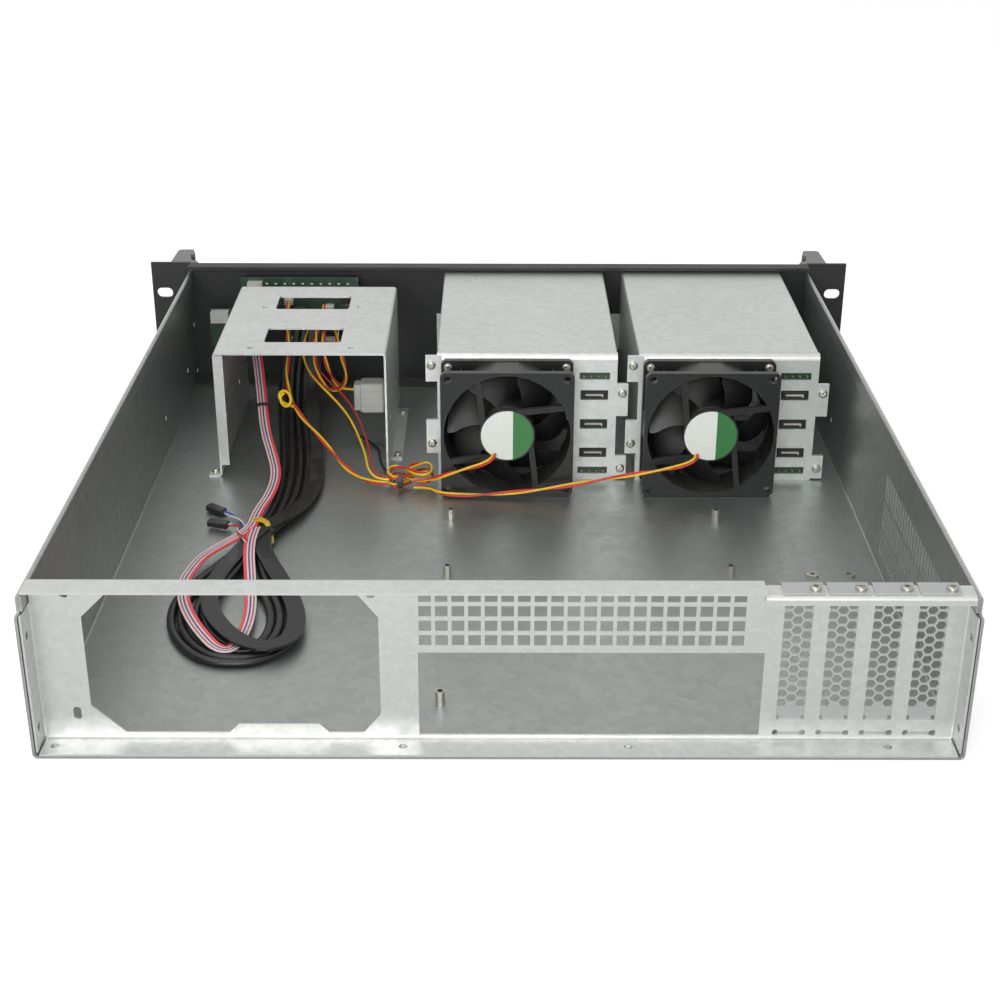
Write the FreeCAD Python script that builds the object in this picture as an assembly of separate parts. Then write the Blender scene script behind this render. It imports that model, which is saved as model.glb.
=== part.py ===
"""Empty 2U rackmount server case, open at the top.

Folded steel tray, folded rear panel with power supply, connector and card cut-outs, painted front
panel with rack ears and handles, two three-bay drive cages with 80 mm fans, and a drive bracket.
Millimetres, +Z up, front to -Y, origin at the middle of the footprint on the resting surface.
"""
import FreeCAD, Part
import math
import os

V = FreeCAD.Vector

# ---------------------------------------------------------------- rack standard and outer sizes
RACK_WIDTH = 482.6            # 19 inch front panel
PANEL_HEIGHT = 88.1           # two rack units less the stacking gap
EAR_SLOT_SPAN = 466.0         # between slot centres, across the case
EAR_SLOT_PITCH = 44.45        # one rack unit
EAR_SLOT_LENGTH = 11.0
EAR_SLOT_HEIGHT = 7.0
CASE_WIDTH = 430.0
CASE_DEPTH = 478.0            # rear edge of the tray to the back of the ears
PANEL_SHEET = 2.0
HANDLE_REACH = 31.0           # handle tip in front of the panel
LIGHT = 1.0                   # sheet of cages, rear panel and covers
SHEET = 1.2                   # sheet of the tray and the drive bracket
TOUCH = 0.0                   # flat faces that seat on each other
GAP = 0.3                     # clearance round pieces that are dropped in

# ---------------------------------------------------------------- tray
WALL_TOP = 82.6
HEM_HEIGHT = 8.0
HEM_GAP = 0.2
BEND = 0.9                    # inner radius of the tray's and panel's bends
BEND_FACETS = 3               # facets round a quarter bend
WIDE_BEND = 2.2               # bends wider than this get more facets
WIDE_BEND_FACETS = 5
WALL_NOTCH = (5.0, 74.0)      # depth of the rear top notch, and the height it starts at
VENT_START = 70.0             # first side vent slot, from the rear edge
VENT_COLUMNS = 22
VENT_ROWS = 3
VENT_PITCH = 5.7
VENT_SLOT = (3.4, 14.4)       # width and height of one slot
VENT_ROW_PITCH = 16.6
VENT_LOW = 9.5
WALL_HOLE_R = 1.7
RAIL_HOLE_Z = 23.6
RAIL_HOLES = (352.0, 438.0)   # from the rear edge
PANEL_HOLES_Z = (10.0, 44.0)  # screws of the front panel's side returns
STANDOFF_R = 2.35
STANDOFF_HEIGHT = 6.5
STANDOFF_BORE = 1.4
BOARD_HOLE_X = (28.6, -128.88)        # columns of board holes, 157.48 apart
BOARD_HOLE_DEPTHS = (47.4, 179.48, 251.87)
BOARD_REAR_OFFSET = 22.86     # the rear hole of the card side lies this much nearer the rear
PRESS_NUT_R = 3.4
PRESS_NUT_HEIGHT = 1.4
PRESS_NUTS_X = (-174.6, -194.7)

# ---------------------------------------------------------------- rear panel
REAR_FACE = 14.4              # outer face of the rear plate, from the tray's rear edge
REAR_PLATE_HALF = 211.8       # half width of the plate above its side flanges
REAR_TOP = 86.0
SIDE_FLANGE_TOP = 73.5
SHELF_TOP = 83.8              # card cover shelf
SHELF_EDGE = 3.0              # rear fold of the shelf
SHELF_LIP = 4.6
SHELF_STEP_X = -118.4
FLANGE_EDGE = 1.2             # rear edge of the top and side flanges
FLANGE_HOLE_R = 1.9
FLANGE_HOLES_X = (206.3, 44.6, -60.1, -180.9)
SIDE_HOLES_Z = (12.6, 61.0)
PSU_LEFT = 54.9               # power supply opening, seen from the rear with +X to the left
PSU_RIGHT = 189.3
PSU_BOTTOM = 5.0
PSU_TOP = 80.0
PSU_SCREW_X = 58.0
PSU_SCREW_SPAN = 138.0
PSU_SCREW_Z = 78.0
PSU_SCREW_DROP = 64.0
PSU_SCREW_R = 1.9
PSU_OVAL_TRAVEL = 3.0         # how much the lower hole is longer than wide
PSU_CORNER = 13.4             # cut corners at the top, and at the bottom on the fan guard's side
PSU_LOW_CORNER = (15.3, 14.4) # the cut corner at the bottom on the other side
PSU_STEP = (24.2, 4.5)        # width of the opening's low toe, and depth of the step beside it
PSU_STEP_RUN = 38.0
IO_LEFT = -121.45             # connector plate opening
IO_WIDTH = 158.75
IO_BOTTOM = 3.9
IO_HEIGHT = 44.45
GRID_COLUMNS = 20
GRID_ROWS = 4
GRID_PITCH = 7.5
GRID_HOLE = 5.8
GRID_FIRST_X = 36.7           # edge of the first column
GRID_LOW = 51.7
CARD_SLOTS = 4
CARD_PITCH = 20.32
CARD_FIRST_X = -135.4         # middle of the first card slot
CARD_SLOT_WIDTH = 13.2
CARD_SLOT_LOW = 12.5
COVER_WIDTH = 18.4
COVER_LOW = 14.4
COVER_TAB_REACH = 11.0
HEX_ROWS = 11
HEX_PITCH = 5.15
HEX_ACROSS = 4.3              # across the flats, upright
HEX_COLUMN = 4.45
HEX_LOW = 21.1
TONGUE_SLOT = (12.8, 1.7)     # width and height of the slot under each cover
TONGUE_SLOT_Z = 5.4
TONGUE_END_R = 1.5

# ---------------------------------------------------------------- front panel
LIP_HALF = 214.0              # half width of the folded lips
TOP_LIP = 10.0
BOTTOM_LIP = 13.0
LED_X = (136.0, 128.0, 120.0, 112.0)
CONTROL_Z = 66.0
LED_R = 1.5
POWER_BUTTON_X = 166.0
POWER_BUTTON_R = 6.0
RESET_BUTTON_X = 149.0
RESET_BUTTON_R = 2.5
BUTTON_TRAVEL = 1.5
BUTTON_PROUD = 2.2
BUTTON_RIM = 1.5
STEM_R = 1.5
SWITCH_SIZE = 6.0
SWITCH_HEIGHT = 1.5
POST_R = 2.5
IO_BOARD_OFF = 9.0            # board's front face behind the panel
IO_BOARD_X = (97.0, 178.0)
IO_BOARD_Z = (51.0, 81.0)
CONTROL_BOARD_OFF = 15.0
CONTROL_BOARD_X = (176.0, 200.0)
CONTROL_BOARD_Z = (33.0, 60.0)
POST_INSET = 4.0
HANDLE_INSET = 0.6            # handle ends inside the panel's top and bottom edges
HANDLE_BASE = (208.7, 228.0)
HANDLE_TIP = (216.7, 227.2)
USB_X = (138.0, 120.0)
USB_Z = 36.0
USB_SIZE = (13.2, 15.5, 5.8)  # width, depth, height of one metal shell
USB_SHELL = 0.5
USB_TONGUE = (10.0, 1.5)      # width and thickness of the moulded tongue
USB_TONGUE_LIFT = 0.3
USB_BOARD_EDGE = 12.0
USB_BOARD_DEPTH = 18.0
LED_PROUD = 0.6

# ---------------------------------------------------------------- cages, fans and trays
CAGE_X = (-17.25, -139.75)    # middles of the two drive cages
CAGE_WIDTH = 109.5
CAGE_TOP = 84.0
CAGE_LENGTH = 165.0           # from the front panel to the seam behind the fan plate's flange
FAN_PLATE_BEND = 2.2
BAYS = 3
LEDGE = 4.0
TAB_WIDTH = 7.0
FRONT_TAB_WIDTH = 6.0
OUTER_TABS = ((66.5, 83.0), (19.0, 41.0))     # tabs on the bracket side of a cage
INNER_TABS = ((44.0, 65.0), (2.2, 17.5))      # tabs on the other side, so neighbours interlock
FRONT_TAB = (25.0, 51.6)
FAN_SIZE = 80.0
FAN_DEPTH = 25.0
FAN_OFFSET = 12.25            # fan middle from the cage middle
FAN_BORE_R = 38.0
FAN_FLANGE = 4.0
FAN_HOLE_SPAN = 71.5
FAN_HOLE_R = 2.2
FAN_SIDES = 28                # facets round the duct
FAN_HUB_R = 17.0
FAN_HUB_SIDES = 16
FAN_HUB_DEPTH = 4.0
FAN_STRUT = 3.4
FAN_STRUTS = 4
FAN_STRUT_LEAN = 4.0
FAN_TIP_GAP = 1.0
FAN_BLADES = 7
BLADE_THICK = 1.5
BLADE_HALF = 10.0             # half of a blade's reach round the shaft
BLADE_ROOT = 8.0              # where a blade starts inside the hub, from the shaft's middle
BLADE_LEAN = 3.0              # how far its tip leans forward
BLADE_CAMBER = (0.0, 0.42, 0.76, 1.0)  # share of the pitch's rise at each bend of the chord
FAN_SHAFT_R = 1.5
RUNNING_FIT = 0.05
STRIP_X = -41.05              # connector strip middle from the cage middle
SATA_Z = (57.8, 38.7, 19.6)
SATA_WINDOW = (17.0, 6.4)
POWER_Z = (70.2, 7.6)
POWER_WINDOW = (18.6, 4.6)
POWER_PIN = (1.4, 4.4)        # side and pitch of the power pins
POWER_PINS = 4
BOARD = 1.6                   # thickness of every circuit board
BACKPLANE_WIDTH = 26.0
TRAY_SHEET = 1.5
TRAY_WALL = 12.0
TRAY_BEZEL = 10.0             # depth of the moulded front of a tray
TRAY_PROUD = 2.0
TRAY_REAR_CLEAR = 4.0
TRAY_SIDE_GAP = 0.4
DRIVE_SOCKET_DEPTH = 6.0
LEVER_LENGTH = 72.0
LEVER_HEIGHT = 15.0
LEVER_THICK = 3.0
LEVER_BARREL_R = 2.2
LEVER_PIN_R = 1.0
LEVER_RECESS = 5.0
TRAY_VENTS = 4
TRAY_VENT = (3.0, 5.8)        # width and pitch of the slots in a tray's front
TRAY_VENT_INSET = 7.0
TRAY_FRAME = 12.0             # frame left round the open floor of a tray
DRIVE_SOCKET_LOW = 6.0

# ---------------------------------------------------------------- drive bracket
BRACKET_X = 121.35
BRACKET_WIDTH = 105.3
BRACKET_TOP = 83.2
BRACKET_REAR = 311.0          # from the rear edge of the tray
BRACKET_LENGTH = 129.0
BRACKET_RETURN = 5.5
BRACKET_FOOT = 7.6
BRACKET_SLOT = (47.5, 26.3)
BRACKET_SLOT_R = 2.0
BRACKET_SIDE_HOLE_Z = 30.0
BRACKET_SIDE_HOLES = (30.0, 90.0)     # from the rear edge
BRACKET_SLOTS_FROM_REAR = (33.2, 96.0)
SSD_HOLES = (61.72, 76.6)     # 2.5 inch drive pattern in the top
SSD_FIRST = 10.3
SCREW_R = 2.7
SCREW_HEAD = 1.8

# ---------------------------------------------------------------- cables
BEND_SHARE = 0.45             # part of the shorter run that each bend takes
BUNDLE_R = 4.0
RIBBON_R = 2.0
LEAD_R = 1.3
WIRE_R = 1.0
COIL_NECK_Y = 34.0            # front of the coil, where the tied cables run into it
COIL_HEIGHT = 8.0
TIE_THICK = 1.05
LOOPS_X = (52.0, 67.0)
LOOPS_Z = 7.6
LOOPS_R = 6.0
IO_HEADER = (10.0, 6.0, 6.0)  # width, depth, height of the white header on the front board
IO_HEADER_AT = (168.0, 75.5)
CONTROL_HEADER_X = (186.5, 198.5)
CONTROL_HEADER_Z = (52.0, 59.5)
CONTROL_HEADER_REACH = 7.0
POWER_PLUG = (19.5, 12.0, 20.5)
SIGNAL_PLUG = (13.0, 6.0, 4.0)

# ---------------------------------------------------------------- worked out from the sizes above
Y_REAR = (CASE_DEPTH + PANEL_SHEET + HANDLE_REACH) / 2
Y_PANEL = Y_REAR - CASE_DEPTH             # back face of the front panel
Y_FRONT = Y_PANEL - PANEL_SHEET           # front face of the front panel
WALL_IN = CASE_WIDTH / 2 - SHEET          # inner face of a side wall
CAGE_HALF = CAGE_WIDTH / 2
CAGE_IN = CAGE_HALF - LIGHT
CAGE_FLOOR = SHEET + LIGHT                # top of the cage's own floor
CAGE_CEILING = CAGE_TOP - LIGHT
CAGE_REAR = Y_PANEL + CAGE_LENGTH
PLATE_FRONT = CAGE_REAR + GAP + FAN_PLATE_BEND + 1.3
PLATE_REAR = PLATE_FRONT + SHEET
BAY_PITCH = (CAGE_CEILING - CAGE_FLOOR) / BAYS
BRACKET_Y = (Y_REAR - BRACKET_REAR - BRACKET_LENGTH, Y_REAR - BRACKET_REAR)
IO_BOARD_Y = Y_PANEL + IO_BOARD_OFF
CONTROL_BOARD_Y = Y_PANEL + CONTROL_BOARD_OFF
TRAY_HALF = CAGE_IN - TRAY_SIDE_GAP
TRAY_HEIGHT = BAY_PITCH - LIGHT - 2 * GAP
BEZEL_Y = (Y_FRONT - TRAY_PROUD, Y_FRONT - TRAY_PROUD + TRAY_BEZEL)
TRAY_REAR = PLATE_FRONT - BOARD - DRIVE_SOCKET_DEPTH - TRAY_REAR_CLEAR
LEVER_Y = BEZEL_Y[0] + LEVER_BARREL_R + 0.2
LEVER_END = 4.0 + LEVER_BARREL_R


def depth(distance):
    """Y of a point that lies the given distance forward of the tray's rear edge."""
    return Y_REAR - distance


# ---------------------------------------------------------------- drawing tools
def block(x, y, z):
    """Box between two corners, each axis given as its low and high value."""
    low = V(min(x), min(y), min(z))
    return Part.makeBox(max(x) - low.x, max(y) - low.y, max(z) - low.z, low)


def rod(radius, start, end):
    """Cylinder between two points."""
    return Part.makeCylinder(radius, (end - start).Length, start, end - start)


def stud(radius, start, end, sides=8, inside=False):
    """Few-sided prism between two points, for small holes and heads.

    The radius is to the flats, or to the corners where the prism has to turn inside a bore.
    """
    way = end - start
    pick = V(0, 0, 1) if abs(way.z) < way.Length / 2 else V(1, 0, 0)
    side = way.cross(pick).normalize()
    other = way.cross(side).normalize()
    r = radius if inside else radius / math.cos(math.pi / sides)
    turns = [2 * math.pi * (k + 0.5) / sides for k in range(sides)]
    points = [start + side * (r * math.cos(a)) + other * (r * math.sin(a)) for a in turns]
    return Part.Face(Part.makePolygon(points + [points[0]])).extrude(way)


def across(y):
    """Drawing plane that faces the rear: (x, z) at the given y."""
    return lambda u, v: V(u, y, v)


def level(z):
    """Horizontal drawing plane: (x, y) at the given z."""
    return lambda u, v: V(u, v, z)


def sideways(x):
    """Drawing plane that faces the side: (y, z) at the given x."""
    return lambda u, v: V(x, u, v)


def rounding(before, here, after, radius):
    """Centre of one rounded corner of a flat path, the ways from it to its facets, and its side."""
    came = (here - before).normalize()
    goes = (after - here).normalize()
    turn = came.getAngle(goes)
    side = 1.0 if came.cross(goes).z > 0 else -1.0
    start = here - came * (radius * math.tan(turn / 2))
    centre = start + V(-came.y, came.x, 0) * (radius * side)
    first = (start - centre).normalize()
    facets = WIDE_BEND_FACETS if radius > WIDE_BEND else BEND_FACETS
    ways = []
    for k in range(facets + 1):
        a = side * turn * k / facets
        ways.append(V(first.x * math.cos(a) - first.y * math.sin(a), first.x * math.sin(a) + first.y * math.cos(a), 0))
    return centre, ways, side


def polygon(points, place):
    """Closed face from flat points set on a drawing plane."""
    corners = [place(p.x, p.y) for p in points]
    return Part.Face(Part.makePolygon(corners + [corners[0]]))


def outline(points, place):
    """Closed face from (u, v) or (u, v, corner radius) points."""
    flat = [V(p[0], p[1], 0) for p in points]
    drawn = []
    for i, here in enumerate(flat):
        if len(points[i]) > 2:
            centre, ways, _ = rounding(flat[i - 1], here, flat[(i + 1) % len(flat)], points[i][2])
            drawn += [centre + way * points[i][2] for way in ways]
        else:
            drawn.append(here)
    return polygon(drawn, place)


def fold(path, sheet, place, draw):
    """Sheet folded along its middle line: (u, v, inner bend radius) points, drawn out by a vector."""
    flat = [V(p[0], p[1], 0) for p in path]
    left = []
    right = []
    for i in range(1, len(flat)):
        way = (flat[i] - flat[i - 1]).normalize()
        normal = V(-way.y, way.x, 0) * (sheet / 2)
        if i == 1:
            left.append(flat[0] + normal)
            right.append(flat[0] - normal)
        if i == len(flat) - 1:
            left.append(flat[i] + normal)
            right.append(flat[i] - normal)
            continue
        radius = path[i][2] + sheet / 2
        centre, ways, side = rounding(flat[i - 1], flat[i], flat[i + 1], radius)
        left += [centre + way * (radius - side * sheet / 2) for way in ways]
        right += [centre + way * (radius + side * sheet / 2) for way in ways]
    return polygon(left + right[::-1], place).extrude(draw)


def slot(x, z, width, height, y):
    """Cutter with round ends, lying across the case, through everything between the two y values."""
    r = height / 2
    reach = width / 2 - r
    ends = [rod(r, V(x + side * reach, min(y), z), V(x + side * reach, max(y), z)) for side in (-1, 1)]
    return block((x - reach, x + reach), y, (z - r, z + r)).fuse(ends)


def joined(shapes):
    """One solid from shapes that touch or overlap."""
    whole = shapes[0]
    if len(shapes) > 1:
        whole = whole.fuse(shapes[1:])
    return whole.removeSplitter()


def cut(shape, cutters):
    """Shape less all the cutters."""
    return shape.cut(cutters) if cutters else shape


# ---------------------------------------------------------------- tray
def base_tray():
    """Floor and side walls in one folded sheet, with hemmed top edges and side vents."""
    wall = CASE_WIDTH / 2 - SHEET / 2
    hem = wall - SHEET - HEM_GAP
    top = WALL_TOP - SHEET / 2
    low = WALL_TOP - HEM_HEIGHT
    tight = HEM_GAP / 2
    path = [(hem, low, 0), (hem, top, tight), (wall, top, tight), (wall, SHEET / 2, BEND),
            (-wall, SHEET / 2, BEND), (-wall, top, tight), (-hem, top, tight), (-hem, low, 0)]
    tray = fold(path, SHEET, across(Y_PANEL), V(0, CASE_DEPTH, 0))
    notch, notch_low = WALL_NOTCH
    cutters = []
    for side in (-1, 1):
        beyond = side * (CASE_WIDTH / 2 + 1)
        inside = side * (hem - SHEET)
        cutters.append(block((inside, beyond), (depth(notch), depth(-1)), (notch_low, WALL_TOP + 1)))
        holes = [(d, RAIL_HOLE_Z) for d in RAIL_HOLES] + [(CASE_DEPTH - 4, z) for z in PANEL_HOLES_Z]
        for d, z in holes:
            cutters.append(stud(WALL_HOLE_R, V(side * (WALL_IN - 1), depth(d), z), V(beyond, depth(d), z), 6))
    width, height = VENT_SLOT
    for column in range(VENT_COLUMNS):
        y = depth(VENT_START + column * VENT_PITCH)
        for row in range(VENT_ROWS):
            z = VENT_LOW + row * VENT_ROW_PITCH
            cutters.append(block((-WALL_IN + 1, -CASE_WIDTH / 2 - 1), (y, y - width), (z, z + height)))
    return cut(tray, cutters)


def board_standoffs():
    """Threaded standoffs for the main board, pressed into the floor."""
    places = [(x, d) for x in BOARD_HOLE_X for d in BOARD_HOLE_DEPTHS]
    places[len(BOARD_HOLE_DEPTHS)] = (BOARD_HOLE_X[1], BOARD_HOLE_DEPTHS[0] - BOARD_REAR_OFFSET)
    posts = []
    for x, d in places:
        foot = V(x, depth(d), SHEET + TOUCH)
        top = foot + V(0, 0, STANDOFF_HEIGHT)
        posts.append(stud(STANDOFF_R, foot, top).cut(rod(STANDOFF_BORE, foot + V(0, 0, 1.5), top + V(0, 0, 1))))
    return Part.makeCompound(posts)


def press_nuts():
    """Two flush threaded nuts beside the board area."""
    nuts = []
    for x in PRESS_NUTS_X:
        foot = V(x, depth(BOARD_HOLE_DEPTHS[1]), SHEET + TOUCH)
        top = foot + V(0, 0, PRESS_NUT_HEIGHT)
        nuts.append(stud(PRESS_NUT_R, foot, top).cut(stud(STANDOFF_BORE, foot - V(0, 0, 1), top + V(0, 0, 1))))
    return Part.makeCompound(nuts)


# ---------------------------------------------------------------- rear panel
def card_x(i):
    """Middle of card slot i, counted from the middle of the case outwards."""
    return CARD_FIRST_X - i * CARD_PITCH


def psu_opening(y):
    """Power supply opening with its cut corners and the step over the fan guard."""
    left, right, low, top = PSU_LEFT, PSU_RIGHT, PSU_BOTTOM, PSU_TOP
    toe, step = left + PSU_STEP[0], low + PSU_STEP[1]
    cut_in, cut_up = PSU_LOW_CORNER
    points = [(right - cut_in, low), (right, low + cut_up, 1.0), (right, top - PSU_CORNER, 1.0), (right - PSU_CORNER, top),
              (left + PSU_CORNER - 3, top), (left, top - PSU_CORNER, 2.0), (left, low + PSU_CORNER - 3, 2.0),
              (left + PSU_CORNER - 5, low), (toe, low), (toe + PSU_STEP[1], step),
              (toe + PSU_STEP[1] + PSU_STEP_RUN, step), (toe + 2 * PSU_STEP[1] + PSU_STEP_RUN, low)]
    return outline(points, across(y[0])).extrude(V(0, y[1] - y[0], 0))


def tongue_slot(x, y):
    """Dumbbell slot that a cover's tongue passes: a narrow slot with a round relief at each end."""
    half, r = TONGUE_SLOT[0] / 2, TONGUE_END_R
    low, high = TONGUE_SLOT_Z - TONGUE_SLOT[1] / 2, TONGUE_SLOT_Z + TONGUE_SLOT[1] / 2
    points = []
    for end in (1, -1):
        ways = ((-0.6, r), (0.9, r), (r, 0.0), (0.9, -r), (-0.6, -r))
        shape = [V(x + end * (half + u), TONGUE_SLOT_Z + end * v, 0) for u, v in ways]
        neck = V(x + end * (half - r), high if end > 0 else low, 0)
        points += [neck] + shape + [V(neck.x, low if end > 0 else high, 0)]
    return polygon(points, across(min(y))).extrude(V(0, max(y) - min(y), 0))


def rear_panel():
    """Folded rear panel: plate, flanges to the rear, card shelf and every cut-out."""
    mid = REAR_FACE + LIGHT / 2
    bottom = SHEET + LIGHT / 2
    flange_half = WALL_IN - GAP
    tall = fold([(depth(0), bottom, 0), (depth(mid), bottom, BEND), (depth(mid), REAR_TOP - LIGHT / 2, BEND),
                 (depth(FLANGE_EDGE), REAR_TOP - LIGHT / 2, 0)], LIGHT, sideways(SHELF_STEP_X),
                V(REAR_PLATE_HALF - SHELF_STEP_X, 0, 0))
    shelf_mid = SHELF_TOP - LIGHT / 2
    low = fold([(depth(0), bottom, 0), (depth(mid), bottom, BEND), (depth(mid), shelf_mid, BEND),
                (depth(SHELF_EDGE) - LIGHT / 2, shelf_mid, BEND),
                (depth(SHELF_EDGE) - LIGHT / 2, SHELF_TOP - SHELF_LIP, 0)], LIGHT,
               sideways(-REAR_PLATE_HALF), V(REAR_PLATE_HALF + SHELF_STEP_X, 0, 0))
    pieces = [tall, low]
    for side in (-1, 1):
        out = side * flange_half
        flange = fold([(side * (REAR_PLATE_HALF - 4), depth(mid), 0), (out - side * LIGHT / 2, depth(mid), BEND),
                       (out - side * LIGHT / 2, depth(FLANGE_EDGE), 0)], LIGHT,
                      level(SHEET + LIGHT + GAP), V(0, 0, SIDE_FLANGE_TOP - SHEET - LIGHT - GAP))
        pieces.append(flange)
    panel = joined(pieces)
    through = (depth(REAR_FACE) + 1, depth(REAR_FACE + LIGHT) - 1)
    cutters = [psu_opening(through)]
    cutters.append(block((IO_LEFT, IO_LEFT + IO_WIDTH), through, (IO_BOTTOM, IO_BOTTOM + IO_HEIGHT)))
    for column in range(GRID_COLUMNS):
        x = GRID_FIRST_X - column * GRID_PITCH
        for row in range(GRID_ROWS):
            z = GRID_LOW + row * GRID_PITCH
            cutters.append(block((x, x - GRID_HOLE), through, (z, z + GRID_HOLE)))
    half = CARD_SLOT_WIDTH / 2
    for i in range(CARD_SLOTS):
        x = card_x(i)
        cutters.append(block((x - half, x + half), through, (CARD_SLOT_LOW, SHELF_TOP - LIGHT - BEND)))
        cutters.append(tongue_slot(x, through))
    for x in (PSU_SCREW_X, PSU_SCREW_X + PSU_SCREW_SPAN):
        cutters.append(rod(PSU_SCREW_R, V(x, through[0], PSU_SCREW_Z), V(x, through[1], PSU_SCREW_Z)))
    oval_x = PSU_SCREW_X + PSU_SCREW_SPAN
    oval_z = PSU_SCREW_Z - PSU_SCREW_DROP
    oval = [(oval_x - PSU_SCREW_R, oval_z - PSU_SCREW_R, PSU_SCREW_R * 0.9),
            (oval_x + PSU_SCREW_R, oval_z - PSU_SCREW_R, PSU_SCREW_R * 0.9),
            (oval_x + PSU_SCREW_R, oval_z + PSU_SCREW_R + PSU_OVAL_TRAVEL, PSU_SCREW_R * 0.9),
            (oval_x - PSU_SCREW_R, oval_z + PSU_SCREW_R + PSU_OVAL_TRAVEL, PSU_SCREW_R * 0.9)]
    cutters.append(outline(oval, across(through[1])).extrude(V(0, through[0] - through[1], 0)))
    for x in FLANGE_HOLES_X:
        at = V(x, depth(REAR_FACE / 2), 0)
        cutters.append(stud(FLANGE_HOLE_R, at, at + V(0, 0, SHEET + LIGHT + 1), 6))
    for side in (-1, 1):
        for z in SIDE_HOLES_Z:
            at = V(side * (flange_half - LIGHT - 1), depth(REAR_FACE / 2), z)
            cutters.append(stud(FLANGE_HOLE_R, at, at + V(side * (LIGHT + 2), 0, 0), 6))
    return cut(panel, cutters)


def slot_cover(i):
    """Perforated cover of one card slot: plate inside the panel, tab over the shelf, tongue below."""
    x = card_x(i)
    half = COVER_WIDTH / 2
    inner = depth(REAR_FACE + LIGHT)
    mid = inner - LIGHT / 2
    top = SHELF_TOP + LIGHT / 2
    path = [(mid, COVER_LOW, 0), (mid, top, BEND), (inner + COVER_TAB_REACH, top, 0)]
    cover = fold(path, LIGHT, sideways(x - half), V(COVER_WIDTH, 0, 0))
    tongue = block((x - 5, x + 5), (inner, inner - LIGHT), (CARD_SLOT_LOW - 10, COVER_LOW))
    cover = joined([cover, tongue])
    cutters = []
    for column in (-1, 0, 1):
        rows = HEX_ROWS if column else HEX_ROWS - 1
        start = HEX_LOW if column else HEX_LOW + HEX_PITCH / 2
        for row in range(rows):
            cutters.append(hexagon(x + column * HEX_COLUMN, start + row * HEX_PITCH, (inner + 1, inner - LIGHT - 1)))
    return cut(cover, cutters)


def hexagon(x, z, y):
    """Six-sided cutter with flat top and bottom, through everything between the two y values."""
    r = HEX_ACROSS / math.sqrt(3)
    points = [(x + r * math.cos(math.radians(60 * k)), z + r * math.sin(math.radians(60 * k))) for k in range(6)]
    return outline(points, across(min(y))).extrude(V(0, max(y) - min(y), 0))


def screw_x(i):
    """Card cover screws stand towards the outer edge of their tab."""
    return card_x(i) - COVER_WIDTH / 2 + 4.0


def screw_y():
    return depth(8.3)


def screw(at, way):
    """Screw head, eight-sided, seated at a point and standing out along way; its thread isn't drawn."""
    return stud(SCREW_R, at, at + way * SCREW_HEAD)


# ---------------------------------------------------------------- front panel
def cage_mouth(i):
    """X and Z limits of the panel opening in front of one cage."""
    x = CAGE_X[i]
    return (x - CAGE_IN, x + CAGE_IN), (CAGE_FLOOR, CAGE_CEILING)


def front_panel():
    """Painted rack panel with ears, folded lips, cage openings and board posts."""
    mid = Y_FRONT + PANEL_SHEET / 2
    top = PANEL_HEIGHT - PANEL_SHEET / 2
    middle = fold([(Y_PANEL + TOP_LIP, top, 0), (mid, top, BEND), (mid, 0, 0)], PANEL_SHEET,
                  sideways(-LIP_HALF), V(2 * LIP_HALF, 0, 0))
    pieces = [middle]
    for side in (-1, 1):
        pieces.append(block((side * LIP_HALF, side * RACK_WIDTH / 2), (Y_FRONT, Y_PANEL), (0, PANEL_HEIGHT)))
    ledge = fold([(Y_PANEL + BOTTOM_LIP, SHEET + PANEL_SHEET / 2, 0), (mid, SHEET + PANEL_SHEET / 2, 0)],
                 PANEL_SHEET, sideways(-WALL_IN + 2), V(2 * WALL_IN - 4, 0, 0))
    keep_out = [block((x - CAGE_HALF - TAB_WIDTH - 1, x + CAGE_HALF + TAB_WIDTH + 1),
                      (Y_PANEL, Y_PANEL + BOTTOM_LIP + 1), (0, CAGE_TOP)) for x in CAGE_X]
    pieces.append(cut(ledge, keep_out))
    for x, z in io_board_posts():
        pieces.append(stud(POST_R, V(x, Y_PANEL - 0.5, z), V(x, IO_BOARD_Y, z)))
    for x, z in control_board_posts():
        pieces.append(stud(POST_R, V(x, Y_PANEL - 0.5, z), V(x, CONTROL_BOARD_Y, z)))
    panel = joined(pieces)
    through = (Y_FRONT - 1, Y_PANEL + 1)
    cutters = []
    for i in range(len(CAGE_X)):
        x, z = cage_mouth(i)
        cutters.append(block(x, through, z))
    for side in (-1, 1):
        for step in (-1, 1):
            z = PANEL_HEIGHT / 2 + step * EAR_SLOT_PITCH / 2
            cutters.append(slot(side * EAR_SLOT_SPAN / 2, z, EAR_SLOT_LENGTH, EAR_SLOT_HEIGHT, through))
    for x in LED_X:
        cutters.append(stud(LED_R, V(x, through[0], CONTROL_Z), V(x, through[1], CONTROL_Z)))
    for x, r in ((POWER_BUTTON_X, POWER_BUTTON_R), (RESET_BUTTON_X, RESET_BUTTON_R)):
        cutters.append(stud(r + GAP, V(x, through[0], CONTROL_Z), V(x, through[1], CONTROL_Z), 16))
    for x in USB_X:
        width, _, height = USB_SIZE
        cutters.append(block((x - width / 2 - GAP, x + width / 2 + GAP), through,
                             (USB_Z - height / 2 - GAP, USB_Z + height / 2 + GAP)))
    return cut(panel, cutters)


def handle(side):
    """Moulded pull handle, tapered to its tip, with a finger groove down its inner face."""
    base = Y_FRONT
    tip = Y_FRONT - HANDLE_REACH
    groove = (base - 4.6, base - 19.0)
    points = [(HANDLE_BASE[1], base), (HANDLE_TIP[1], tip, 3.0), (HANDLE_TIP[0], tip, 2.5),
              (213.9, groove[1] - 0.8, 0.6), (217.3, groove[1], 1.2), (214.2, groove[0] - 1.0, 1.2),
              (210.6, groove[0], 0.6), (HANDLE_BASE[0], base)]
    shape = [(side * p[0],) + tuple(p[1:]) for p in points]
    return outline(shape, level(HANDLE_INSET)).extrude(V(0, 0, PANEL_HEIGHT - 2 * HANDLE_INSET))


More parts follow.
